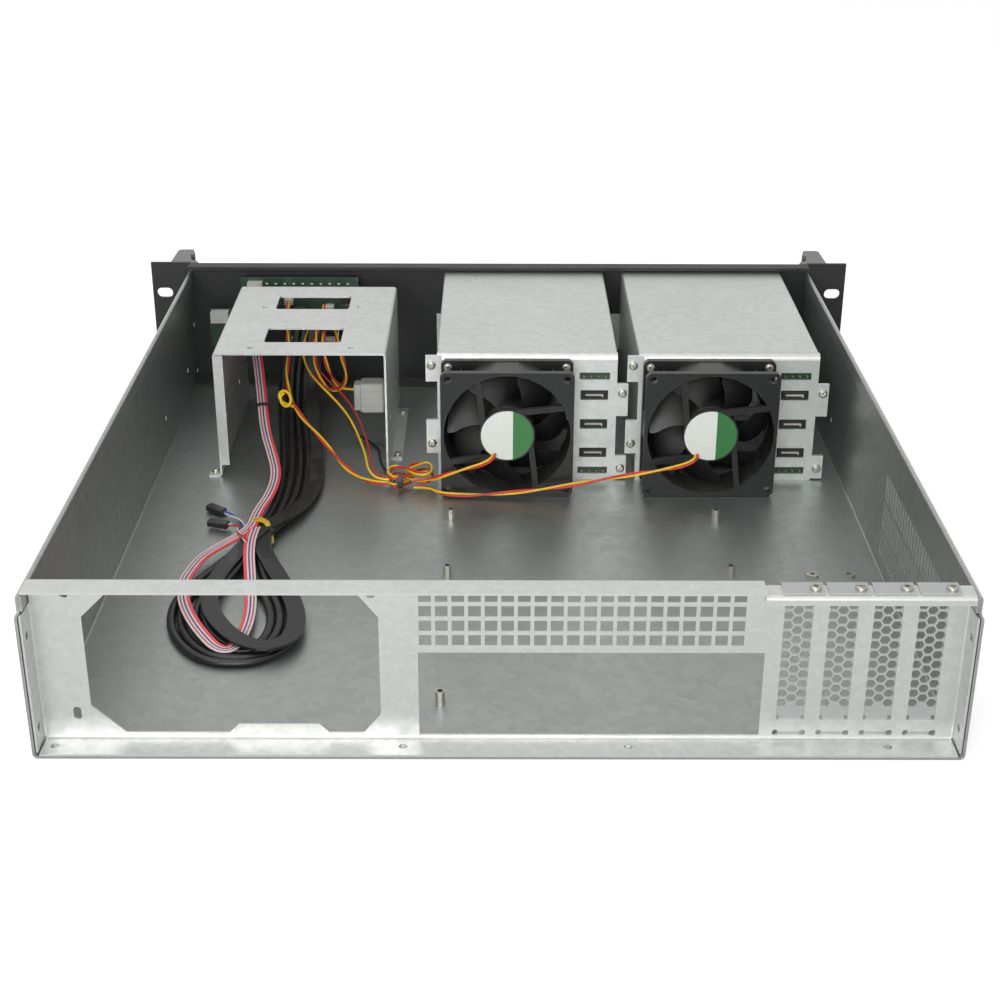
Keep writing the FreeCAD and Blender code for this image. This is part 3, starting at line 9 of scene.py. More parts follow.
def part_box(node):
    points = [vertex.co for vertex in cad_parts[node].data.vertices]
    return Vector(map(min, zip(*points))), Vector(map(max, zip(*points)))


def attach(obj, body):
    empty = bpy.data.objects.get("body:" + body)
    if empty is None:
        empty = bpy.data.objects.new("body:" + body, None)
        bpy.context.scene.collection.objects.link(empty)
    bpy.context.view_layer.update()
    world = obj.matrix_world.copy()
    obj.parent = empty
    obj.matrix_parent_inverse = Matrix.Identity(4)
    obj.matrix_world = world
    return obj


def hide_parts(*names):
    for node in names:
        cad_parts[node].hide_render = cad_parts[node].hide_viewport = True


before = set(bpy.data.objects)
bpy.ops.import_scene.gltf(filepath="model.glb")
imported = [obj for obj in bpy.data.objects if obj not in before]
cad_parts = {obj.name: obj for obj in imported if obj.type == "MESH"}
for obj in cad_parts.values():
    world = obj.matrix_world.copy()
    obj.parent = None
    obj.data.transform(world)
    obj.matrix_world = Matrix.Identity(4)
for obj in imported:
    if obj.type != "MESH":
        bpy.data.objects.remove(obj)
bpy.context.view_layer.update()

UP = Vector((0, 0, 1))
REAR = Vector((0, 1, 0))

bl_info = {
    "name": "Rackmount server case",
    "version": (1, 0, 0),
    "blender": (4, 5, 0),
    "location": "3D View > Sidebar > Server case",
    "description": "Finishes, cables and small fittings of an open rackmount server case",
    "category": "Object",
}


def linear(red, green, blue):
    """Shader colour from 8-bit display values."""
    shares = (((v / 255 + 0.055) / 1.055) ** 2.4 if v > 10 else v / 3294.6 for v in (red, green, blue))
    return (*shares, 1.0)


def colour(name, about, red, green, blue):
    """Colour setting with a display colour as its default."""
    return bpy.props.FloatVectorProperty(name=name, description=about, subtype="COLOR", size=4, min=0, max=1,
                                         default=linear(red, green, blue))


def size(name, about, default):
    """Length setting in metres."""
    return bpy.props.FloatProperty(name=name, description=about, default=default, min=0.0, unit="LENGTH",
                                   precision=5)


class ServerCaseColours(bpy.types.PropertyGroup):
    """Colours of the case's finishes."""
    zinc: colour("Zinc", "Bright zinc sheet of cages, bracket and rear", 224, 226, 223)
    zinc_dull: colour("Dull zinc", "Darker crystals in the zinc", 190, 193, 191)
    tray: colour("Tray", "Galvanised sheet of the tray", 178, 183, 180)
    tray_dull: colour("Dull tray", "Darker crystals in the tray's zinc", 150, 155, 153)
    black_paint: colour("Black paint", "Powder coat of the front", 24, 24, 25)
    fan_black: colour("Fan black", "Moulded fans", 20, 20, 21)
    # The handles are black mouldings; this grey is painted sheen standing in for the overhead light that
    # their top faces reflect.
    handle_sheen_grey: colour("Handle sheen grey", "Black handles with painted sheen", 108, 106, 106)
    cable_black: colour("Cable black", "Sheath of the black cables", 9, 9, 10)
    ribbon_pale: colour("Ribbon pale", "Pale conductors of the ribbon", 224, 208, 214)
    ribbon_red: colour("Ribbon red", "Marked edge of the ribbon", 226, 72, 76)
    wire_yellow: colour("Yellow wire", "Yellow insulation", 236, 192, 14)
    wire_red: colour("Red wire", "Red insulation", 196, 44, 38)
    wire_blue: colour("Blue wire", "Blue insulation", 62, 78, 176)
    wire_white: colour("White wire", "White insulation", 222, 214, 220)
    tie: colour("Tie", "Gold-yellow tie", 206, 172, 24)
    nylon: colour("Natural nylon", "Power plug", 186, 186, 182)
    board: colour("Board", "Solder mask of the circuit boards", 20, 58, 38)
    label_white: colour("Label white", "Pale field of the hub label", 226, 229, 223)
    label_green: colour("Label green", "Green field of the hub label", 52, 120, 62)
    brass: colour("Brass", "Contacts and pins", 196, 170, 106)
    steel: colour("Steel", "Plated screws and spacers", 190, 188, 180)


class ServerCaseSizes(bpy.types.PropertyGroup):
    """Sizes of the cables and small fittings."""
    flat_width: size("Cable width", "Width of a slightly flattened black cable", 0.0047)
    flat_thick: size("Cable thickness", "Thickness of a slightly flattened black cable", 0.0030)
    strap_width: size("Strap width", "Width of the wide black cable", 0.0094)
    strap_thick: size("Strap thickness", "Thickness of the wide black cable", 0.0020)
    ribbon_width: size("Ribbon width", "Width of the ribbon cable", 0.0064)
    ribbon_thick: size("Ribbon thickness", "Thickness of the ribbon cable", 0.0010)
    wire: size("Wire", "Outside diameter of a fan or power wire", 0.0015)
    thin_wire: size("Thin wire", "Outside diameter of a signal wire", 0.0011)
    screw_radius: size("Screw head radius", "Pan head screws", 0.0027)
    screw_height: size("Screw head height", "Pan head screws", 0.0018)
    label_radius: size("Label radius", "Round label on a fan's hub", 0.0158)


# ---------------------------------------------------------------- nodes
def node(tree, kind, inputs=None, **settings):
    """New node with its settings, and with its inputs written or linked."""
    made = tree.nodes.new(kind)
    for name, value in settings.items():
        setattr(made, name, value)
    for label, value in (inputs or {}).items():
        if isinstance(value, bpy.types.NodeSocket):
            tree.links.new(value, made.inputs[label])
        else:
            made.inputs[label].default_value = value
    return made


def node_group(kind, name, inputs, outputs):
    """Empty node group: the tree, the sockets it is given and the sockets it makes."""
    tree = bpy.data.node_groups.new(name, kind)
    for label, value in inputs.items():
        sort = value if isinstance(value, str) else "Float" if isinstance(value, float) else "Color"
        socket = tree.interface.new_socket(label, in_out="INPUT", socket_type="NodeSocket" + sort)
        if value != sort:
            socket.default_value = value
    for label, sort in outputs.items():
        tree.interface.new_socket(label, in_out="OUTPUT", socket_type="NodeSocket" + sort)
    return tree, tree.nodes.new("NodeGroupInput").outputs, tree.nodes.new("NodeGroupOutput").inputs


def shader_group(name, inputs, **outputs):
    """Empty shader group, whose inputs are colours and numbers given by their defaults."""
    return node_group("ShaderNodeTree", name, inputs, outputs)


def shape_group(name, inputs):
    """Empty group of geometry nodes, which is given and makes one geometry."""
    return node_group("GeometryNodeTree", name, {"Geometry": "Geometry", **inputs}, {"Geometry": "Geometry"})


def maths(tree, operation, first, second, clamp=False):
    """Maths on two numbers or output sockets."""
    made = node(tree, "ShaderNodeMath", {0: first, 1: second}, operation=operation, use_clamp=clamp)
    return made.outputs[0]


def mixed(tree, share, first, second):
    """Blend of two colours by a share socket."""
    return node(tree, "ShaderNodeMix", {"Factor": share, 6: first, 7: second}, data_type="RGBA").outputs[2]


def own_place(tree):
    """Coordinates of the object itself."""
    return tree.nodes.new("ShaderNodeTexCoord").outputs["Object"]


def noise(tree, scale, detail=3.0, stretch=None):
    """Noise over the object's own coordinates, stretched along the axes if asked."""
    where = own_place(tree)
    if stretch:
        where = node(tree, "ShaderNodeMapping", {"Scale": stretch, "Vector": where}).outputs["Vector"]
    made = node(tree, "ShaderNodeTexNoise", {"Vector": where, "Scale": scale, "Detail": detail})
    return made.outputs["Fac"]


# ---------------------------------------------------------------- shader groups
def mottle_group():
    """Crystals and soft clouds of a sheet's zinc, or of a moulding's skin."""
    tree, given, made = shader_group("Surface mottle", {
        "Base": (1, 1, 1, 1), "Other": (0, 0, 0, 1), "Crystal scale": 300.0, "Cloud scale": 14.0,
        "Amount": 0.6}, Color="Color", Shade="Float")
    cells = node(tree, "ShaderNodeTexVoronoi", {"Vector": own_place(tree), "Scale": given["Crystal scale"]})
    cell = node(tree, "ShaderNodeSeparateColor", {"Color": cells.outputs["Color"]}).outputs[0]
    cloud = noise(tree, given["Cloud scale"], 4.0)
    both = maths(tree, "ADD", maths(tree, "MULTIPLY", cell, 0.45), maths(tree, "MULTIPLY", cloud, 0.75))
    shade = maths(tree, "MULTIPLY", maths(tree, "SUBTRACT", both, 0.12, True), given["Amount"], True)
    tree.links.new(mixed(tree, shade, given["Base"], given["Other"]), made["Color"])
    tree.links.new(shade, made["Shade"])
    return tree


def wear_group():
    """Mask of rubbed edges and of a painted edge highlight: where a rounded normal leaves the true one,
    broken up by noise.
    """
    tree, given, made = shader_group("Edge wear", {"Width": 0.0006, "Amount": 0.5}, Mask="Float")
    # Lightened edges here are partly real rubbing and partly painted highlight.
    soft = node(tree, "ShaderNodeBevel", {"Radius": given["Width"]}, samples=3)
    true = tree.nodes.new("ShaderNodeNewGeometry")
    together = node(tree, "ShaderNodeVectorMath", {0: soft.outputs["Normal"], 1: true.outputs["Normal"]},
                    operation="DOT_PRODUCT")
    edge = maths(tree, "MULTIPLY", maths(tree, "SUBTRACT", 1.0, together.outputs["Value"]), 7.0, True)
    broken = maths(tree, "MULTIPLY", edge, maths(tree, "ADD", noise(tree, 260.0), 0.35), True)
    tree.links.new(maths(tree, "MULTIPLY", broken, given["Amount"], True), made["Mask"])
    return tree


def dust_group():
    """Mask of dust, which settles on faces that look up."""
    tree, given, made = shader_group("Settled dust", {"Amount": 0.2}, Mask="Float")
    facing = tree.nodes.new("ShaderNodeNewGeometry").outputs["Normal"]
    lifted = maths(tree, "MAXIMUM", node(tree, "ShaderNodeSeparateXYZ", {0: facing}).outputs["Z"], 0.0)
    patchy = maths(tree, "MULTIPLY", lifted, maths(tree, "MULTIPLY", noise(tree, 38.0, 5.0), 1.5))
    tree.links.new(maths(tree, "MULTIPLY", patchy, given["Amount"], True), made["Mask"])
    return tree


def grain_group():
    """Height of fine grain, with faint drawn lines along the sheet."""
    tree, given, made = shader_group("Fine grain", {"Grain scale": 1800.0, "Drawn lines": 0.0},
                                     Height="Float")
    fine = noise(tree, given["Grain scale"], 2.0)
    drawn = maths(tree, "MULTIPLY", noise(tree, 90.0, 3.0, (1.0, 16.0, 16.0)), given["Drawn lines"])
    tree.links.new(maths(tree, "ADD", fine, drawn), made["Height"])
    return tree


def outside_group():
    """Mask of the tray's painted outside: what lies at its sides' outer faces and at its underside."""
    tree, given, made = shader_group("Painted outside", {"Half width": 0.2149}, Mask="Float")
    parts = node(tree, "ShaderNodeSeparateXYZ", {0: own_place(tree)}).outputs
    beside = maths(tree, "GREATER_THAN", maths(tree, "ABSOLUTE", parts["X"], 0.0), given["Half width"])
    below = maths(tree, "LESS_THAN", parts["Z"], 0.0001)
    tree.links.new(maths(tree, "MAXIMUM", beside, below), made["Mask"])
    return tree


GROUPS = {}


def group_node(tree, name, **values):
    """Shader group set into a material, with its plain inputs written."""
    inputs = {label.replace("_", " ").capitalize(): value for label, value in values.items()}
    return node(tree, "ShaderNodeGroup", inputs, node_tree=GROUPS[name]).outputs


def finish(name, base, other, worn_and_highlight_colour, rough, metal=0.0, crystal=500.0, cloud=22.0, mottle=0.5, wear=0.4,
           width=0.0005, dust=0.10, grain=1500.0, drawn=0.0, bump=0.10, coat=0.0, outside=False):
    """Procedural material: mottled colour, rubbed edges that also carry a painted highlight, dust, uneven
    roughness and fine bump.
    """
    material = bpy.data.materials.new(name)
    material.use_nodes = True
    tree = material.node_tree
    shader = tree.nodes["Principled BSDF"].inputs
    skin = group_node(tree, "mottle", base=base, other=other, crystal_scale=crystal, cloud_scale=cloud,
                      amount=mottle)
    edges = group_node(tree, "wear", width=width, amount=wear)["Mask"]
    settled = group_node(tree, "dust", amount=dust)["Mask"]
    fine = group_node(tree, "grain", grain_scale=grain, drawn_lines=drawn)["Height"]
    # Edges are lightened towards the worn colour: partly rubbed metal and paint, partly a painted highlight.
    tint = mixed(tree, settled, mixed(tree, edges, skin["Color"], worn_and_highlight_colour), linear(168, 165, 158))
    uneven = maths(tree, "ADD", maths(tree, "MULTIPLY", skin["Shade"], 0.16), rough - 0.05)
    dusty = maths(tree, "ADD", uneven, maths(tree, "MULTIPLY", settled, 0.3), True)
    shader["Metallic"].default_value = metal
    shader["Coat Weight"].default_value = coat
    if outside:
        covered = group_node(tree, "outside")["Mask"]
        tint = mixed(tree, covered, tint, linear(20, 20, 21))
        bare = maths(tree, "SUBTRACT", 1.0, covered, True)
        tree.links.new(maths(tree, "MULTIPLY", bare, metal), shader["Metallic"])
    bumped = node(tree, "ShaderNodeBump", {"Strength": bump, "Distance": 0.0004, "Height": fine})
    tree.links.new(tint, shader["Base Color"])
    tree.links.new(dusty, shader["Roughness"])
    tree.links.new(bumped.outputs["Normal"], shader["Normal"])
    material.diffuse_color = base
    return material


LOOKS = {}


def make_finishes(tones):
    """Every finish of the case, by the maker's name for it."""
    GROUPS.update(mottle=mottle_group(), wear=wear_group(), dust=dust_group(), grain=grain_group(),
                  outside=outside_group())
    make_sheet_finishes(tones, linear(232, 233, 230))
    make_moulded_finishes(tones)
    make_cable_finishes(tones)


def make_sheet_finishes(tones, pale):
    """Zinc sheets, paint, and the small metal parts."""
    LOOKS.update(
        tray=finish("Galvanised tray", tones.tray, tones.tray_dull, pale, 0.40, metal=0.95, crystal=190.0,
                    cloud=9.0, mottle=0.8, wear=0.8, width=0.0007, grain=1300.0, drawn=0.5, bump=0.12,
                    outside=True),
        zinc=finish("Zinc sheet", tones.zinc, tones.zinc_dull, pale, 0.42, metal=0.84, crystal=300.0,
                    cloud=12.0, mottle=0.7, wear=0.9, width=0.0006, dust=0.08, drawn=0.4),
        covers=finish("Card cover zinc", linear(184, 187, 186), tones.zinc_dull, pale, 0.46, metal=0.72,
                      crystal=240.0, cloud=16.0, mottle=0.7, wear=0.7, drawn=0.4),
        paint=finish("Black powder coat", tones.black_paint, linear(38, 39, 40), linear(96, 97, 98), 0.55,
                     crystal=900.0, cloud=20.0, mottle=0.6, width=0.0006, grain=1100.0, bump=0.35),
        steel=finish("Plated steel", tones.steel, linear(150, 146, 130), pale, 0.30, metal=0.9, cloud=60.0,
                     mottle=0.6, wear=0.7, width=0.0003, dust=0.05, grain=1800.0, drawn=0.2, bump=0.08),
        brass=finish("Contact brass", tones.brass, linear(150, 126, 70), linear(230, 214, 160), 0.32,
                     metal=0.9, cloud=60.0, wear=0.6, width=0.0002, dust=0.03, grain=1800.0, bump=0.06),
    )


def make_moulded_finishes(tones):
    """Mouldings, circuit boards and labels."""
    label = {"crystal": 700.0, "cloud": 50.0, "mottle": 0.4, "wear": 0.3, "width": 0.0002, "dust": 0.06,
             "grain": 1200.0, "drawn": 0.2, "bump": 0.06, "coat": 0.2}
    LOOKS.update(
        fan=finish("Fan moulding", tones.fan_black, linear(38, 38, 39), linear(74, 74, 75), 0.42, wear=0.5,
                   width=0.0006, dust=0.12, bump=0.12),
        tray_black=finish("Drive tray moulding", linear(20, 20, 21), linear(34, 34, 35), linear(62, 62, 63),
                          0.5, grain=1300.0, bump=0.2),
        black=finish("Black moulding", linear(26, 26, 27), linear(40, 40, 41), linear(80, 80, 80), 0.45,
                     width=0.0004, grain=1400.0, bump=0.15),
        # The handle's grey tones are painted sheen on black mouldings.
        handle=finish("Handle moulding", tones.handle_sheen_grey, linear(112, 109, 108), linear(150, 148, 146),
                      0.40, crystal=600.0, cloud=18.0, wear=0.5, width=0.0008, grain=1200.0, bump=0.2),
        board=finish("Solder mask", tones.board, linear(14, 52, 30), linear(120, 132, 92), 0.34,
                     crystal=900.0, cloud=40.0, mottle=0.6, wear=0.7, width=0.0003, dust=0.08, grain=900.0,
                     drawn=0.3, bump=0.12, coat=0.4),
        nylon=finish("Natural nylon", tones.nylon, linear(160, 160, 152), linear(226, 226, 222), 0.42,
                     crystal=300.0, cloud=60.0, mottle=0.6, wear=0.6, dust=0.05),
        lens=finish("Lens plastic", linear(196, 204, 200), linear(170, 178, 176), linear(240, 242, 240), 0.22,
                    crystal=300.0, cloud=60.0, mottle=0.4, wear=0.5, width=0.0003, dust=0.03, bump=0.05,
                    coat=0.5),
        label_white=finish("Label white", tones.label_white, linear(206, 210, 204), linear(240, 242, 238),
                           0.42, **label),
        label_green=finish("Label green", tones.label_green, linear(38, 98, 48), linear(110, 170, 110), 0.40,
                           **label),
    )


def make_cable_finishes(tones):
    """Cable sheaths, insulation and the yellow tie."""
    def strand(name, base, other, worn_and_highlight_colour, rough=0.42, dust=0.05, **looks):
        return finish(name, base, linear(*other), linear(*worn_and_highlight_colour), rough, width=0.0002, dust=dust,
                      drawn=0.3, **looks)

    ribbon = {"cloud": 50.0}
    wire = {"cloud": 70.0, "grain": 1700.0, "mottle": 0.55, "rough": 0.34, "dust": 0.04}
    pale = {**wire, "mottle": 0.5}
    LOOKS.update(
        cable=finish("Black cable sheath", tones.cable_black, linear(20, 20, 22), linear(30, 30, 32), 0.40,
                     crystal=420.0, cloud=60.0, mottle=0.6, wear=0.3, width=0.0004, dust=0.0, grain=1600.0,
                     drawn=0.5, bump=0.3, coat=0.15),
        ribbon_pale=strand("Ribbon pale", tones.ribbon_pale, (190, 168, 176), (240, 230, 232), **ribbon),
        ribbon_red=strand("Ribbon red", tones.ribbon_red, (180, 50, 56), (244, 120, 120), 0.40, 0.04,
                          **ribbon),
        ribbon_brown=strand("Ribbon brown", linear(168, 92, 74), (140, 74, 60), (200, 150, 130), **ribbon),
        ribbon_navy=strand("Ribbon navy", linear(52, 50, 104), (40, 38, 84), (150, 150, 180), **ribbon),
        yellow=strand("Yellow insulation", tones.wire_yellow, (190, 136, 6), (250, 224, 90), **wire),
        red=strand("Red insulation", tones.wire_red, (140, 26, 22), (236, 96, 84), **wire),
        blue=strand("Blue insulation", tones.wire_blue, (40, 52, 130), (120, 130, 220), **pale),
        white=strand("White insulation", tones.wire_white, (190, 182, 190), (245, 242, 245),
                     **{**pale, "rough": 0.36, "dust": 0.05}),
        tie=finish("Gold-yellow tie", tones.tie, linear(166, 130, 14), linear(240, 220, 110), 0.36,
                   crystal=400.0, cloud=70.0, mottle=0.6, wear=0.5, width=0.0003, dust=0.05, drawn=0.5,
                   bump=0.15),
    )


NODE_LOOKS = {
    "tray": ("base_tray",),
    "zinc": ("rear_panel", "drive_bracket", "drive_cage", "fan_plate"),
    "covers": ("slot_cover",),
    "paint": ("front_panel",),
    "handle": ("handle",),
    "fan": ("fan_frame", "fan_rotor"),
    "tray_black": ("drive_tray", "tray_lever"),
    "black": ("power_button", "reset_button", "drive_connectors"),
    "board": ("backplane", "front_io_board", "control_board", "usb_board"),
    "nylon": ("board_headers",),
    "lens": ("status_leds",),
    "steel": ("usb_sockets", "board_standoffs", "press_nuts"),
}


def dress_nodes():
    """Gives every CAD node that stays its finish."""
    for name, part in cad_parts.items():
        for look, starts in NODE_LOOKS.items():
            if name.startswith(starts):
                for slot in part.material_slots:
                    slot.material = LOOKS[look]


# ---------------------------------------------------------------- mesh tools
class Skin:
    """Gathers closed shells into the mesh of one piece."""

    def __init__(self):
        self.points, self.faces, self.slots = [], [], []

    def loft(self, rings, slot=0, slots=None):
        """Closed shell through rings of equally many points, capped at both ends."""
        start, count = len(self.points), len(rings[0])
        for ring in rings:
            self.points += [tuple(p) for p in ring]
        for r in range(len(rings) - 1):
            for k in range(count):
                a, b = start + r * count + k, start + r * count + (k + 1) % count
                self.faces.append((a, b, b + count, a + count))
                self.slots.append(slots[k] if slots else slot)
        last = start + (len(rings) - 1) * count
        self.faces += [tuple(range(start + count - 1, start - 1, -1)), tuple(range(last, last + count))]
        self.slots += [slot, slot]

    def lathe(self, foot, way, profile, sides=24, slot=0):
        """Turned shell from (radius, distance along the axis) pairs."""
        way = Vector(way).normalized()
        side = way.orthogonal().normalized()
        other = way.cross(side)
        rings = []
        for radius, along in profile:
            turns = [2 * math.pi * k / sides for k in range(sides)]
            rings.append([Vector(foot) + way * along + (side * math.cos(a) + other * math.sin(a)) * radius
                          for a in turns])
        self.loft(rings, slot)

    def box(self, low, high, edge=0.0004, slot=0):
        """Box with all its edges eased."""
        rings = []
        for z, inset in ((low[2], edge), (low[2] + edge, 0), (high[2] - edge, 0), (high[2], edge)):
            x0, y0, x1, y1 = low[0] + inset, low[1] + inset, high[0] - inset, high[1] - inset
            rings.append([(x0 + edge, y0, z), (x1 - edge, y0, z), (x1, y0 + edge, z), (x1, y1 - edge, z),
                          (x1 - edge, y1, z), (x0 + edge, y1, z), (x0, y1 - edge, z), (x0, y0 + edge, z)])
        self.loft(rings, slot)

    def tube(self, points, radius, sides=8, slot=0):
        """Round tube along points."""
        turns = [2 * math.pi * k / sides for k in range(sides)]
        self.sweep(points, [(radius * math.cos(a), radius * math.sin(a)) for a in turns], slot)

    def sweep(self, points, section, slot=0, slots=None):
        """Section drawn along points, its first axis kept level."""
        rings = []
        for place, side, up in level_frames(points):
            rings.append([place + side * u + up * v for u, v in section])
        self.loft(rings, slot, slots)

    def piece(self, name, body, looks, replaces=(), sharp=0.6):
        """Makes the piece, gives it its finishes, and lets it ride on a body."""
        mesh = bpy.data.meshes.new(name)
        mesh.from_pydata(self.points, [], self.faces)
        for look in looks:
            mesh.materials.append(LOOKS[look])
        for face, slot in zip(mesh.polygons, self.slots):
            face.material_index = slot
        return settle(name, mesh, body, replaces, sharp)


def settle(name, mesh, body, replaces=(), sharp=0.6):
    """Object for a finished mesh, with outward normals, smooth shading and its body."""
    shape = bmesh.new()
    shape.from_mesh(mesh)
    bmesh.ops.recalc_face_normals(shape, faces=shape.faces)
    shape.to_mesh(mesh)
    shape.free()
    for face in mesh.polygons:
        face.use_smooth = True
    mesh.set_sharp_from_angle(angle=sharp)
    made = bpy.data.objects.new(name, mesh)
    bpy.context.collection.objects.link(made)
    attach(made, body)
    if replaces:
        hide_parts(*replaces)
    return made


def level_frames(points):
    """Place, level side and upward side at each point of a line."""
    frames = []
    for i, place in enumerate(points):
        way = (points[min(i + 1, len(points) - 1)] - points[max(i - 1, 0)]).normalized()
        side = way.cross(UP)
        if side.length < 0.05:
            side = frames[-1][1].copy() if frames else Vector((1, 0, 0))
        side = (side - way * side.dot(way)).normalized()
        if frames and side.dot(frames[-1][1]) < 0:
            side = -side
        frames.append((place, side, side.cross(way).normalized()))
    return frames


def islands(node):
    """Lowest and highest corner of each separate solid of a CAD node."""
    shape = bmesh.new()
    shape.from_mesh(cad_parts[node].data)
    bmesh.ops.remove_doubles(shape, verts=shape.verts, dist=1e-6)
    left, boxes = set(shape.verts), []
    while left:
        edge = [left.pop()]
        solid = list(edge)
        while edge:
            here = edge.pop()
            for link in here.link_edges:
                other = link.other_vert(here)
                if other in left:
                    left.remove(other)
                    edge.append(other)
                    solid.append(other)
        low = Vector([min(v.co[i] for v in solid) for i in range(3)])
        high = Vector([max(v.co[i] for v in solid) for i in range(3)])
        boxes.append((low, high))
    shape.free()
    return sorted(boxes, key=lambda pair: tuple(pair[0]))


# ---------------------------------------------------------------- cables
def along(points):
    """Points read from the smooth line of a cable's route."""
    data = bpy.data.curves.new("route", "CURVE")
    data.dimensions = "3D"
    spline = data.splines.new("NURBS")
    spline.points.add(len(points) - 1)
    for place, point in zip(spline.points, points):
        place.co = (*point, 1.0)
    spline.order_u = 3
    spline.use_endpoint_u = True
    spline.resolution_u = 6
    mesh = bpy.data.meshes.new_from_object(bpy.data.objects.new("route", data))
    places = [v.co.copy() for v in mesh.vertices]
    bpy.data.meshes.remove(mesh)
    bpy.data.curves.remove(data)
    return places


def lay_cord(skin, name, looks, replaces=()):
    cable = skin.piece(name, "case", looks, replaces, 1.2)


def flat_cable(name, points, width, thick, cores, looks, stripes=None, replaces=()):
    """Flat cable lying level across its route, its cores standing out as low ridges."""
    places = along(points)
    steps = range(2 * cores + 1)
    upper = [(width * (k / (2 * cores) - 0.5), thick * (0.5 if k % 2 else 0.36)) for k in steps]
    section = upper + [(u, -v) for u, v in reversed(upper)]
    slots = None
    if stripes:
        top = [stripes[min(k // 2, cores - 1)] for k in steps]
        slots = top[:-1] + [stripes[-1]] + top[::-1][1:] + [stripes[0]]
    skin = Skin()
    skin.sweep(places, section, 0, slots)
    lay_cord(skin, name, looks, replaces)


def round_cable(name, points, sizes, replaces=()):
    """Slightly flattened black cable."""
    wide, thick = sizes.flat_width / 2, sizes.flat_thick / 2
    turns = [math.pi * k / 6 for k in range(12)]
    places = along(points)
    skin = Skin()
    skin.sweep(places, [(wide * math.cos(a), thick * math.sin(a)) for a in turns])
    lay_cord(skin, name, ["cable"], replaces)


def twisted_wires(name, points, wire, looks, pitch=0.024, spread=0.5, replaces=(),
                  with_pieces=()):
    """Wires laid round each other along one route, made as one piece."""
    places = along(points)
    skin = Skin()
    frames = level_frames(places)
    gone, turns = 0.0, []
    for i, place in enumerate(places):
        gone += (place - places[i - 1]).length if i else 0.0
        turns.append(2 * math.pi * gone / pitch)
    offset = 0.0 if len(looks) == 1 else wire * spread
    for w in range(len(looks)):
        strand = []
        for (place, side, up), turn in zip(frames, turns):
            a = turn + 2 * math.pi * w / len(looks)
            strand.append(place + (side * math.cos(a) + up * math.sin(a)) * offset)
        skin.tube(strand, wire / 2, 8, w)
    lay_cord(skin, name, looks, replaces)


def beside(points, shift):
    """Route moved level and sideways, for a cable that lies next to another."""
    return [tuple(place + side * shift) for place, side, _ in level_frames([Vector(p) for p in points])]


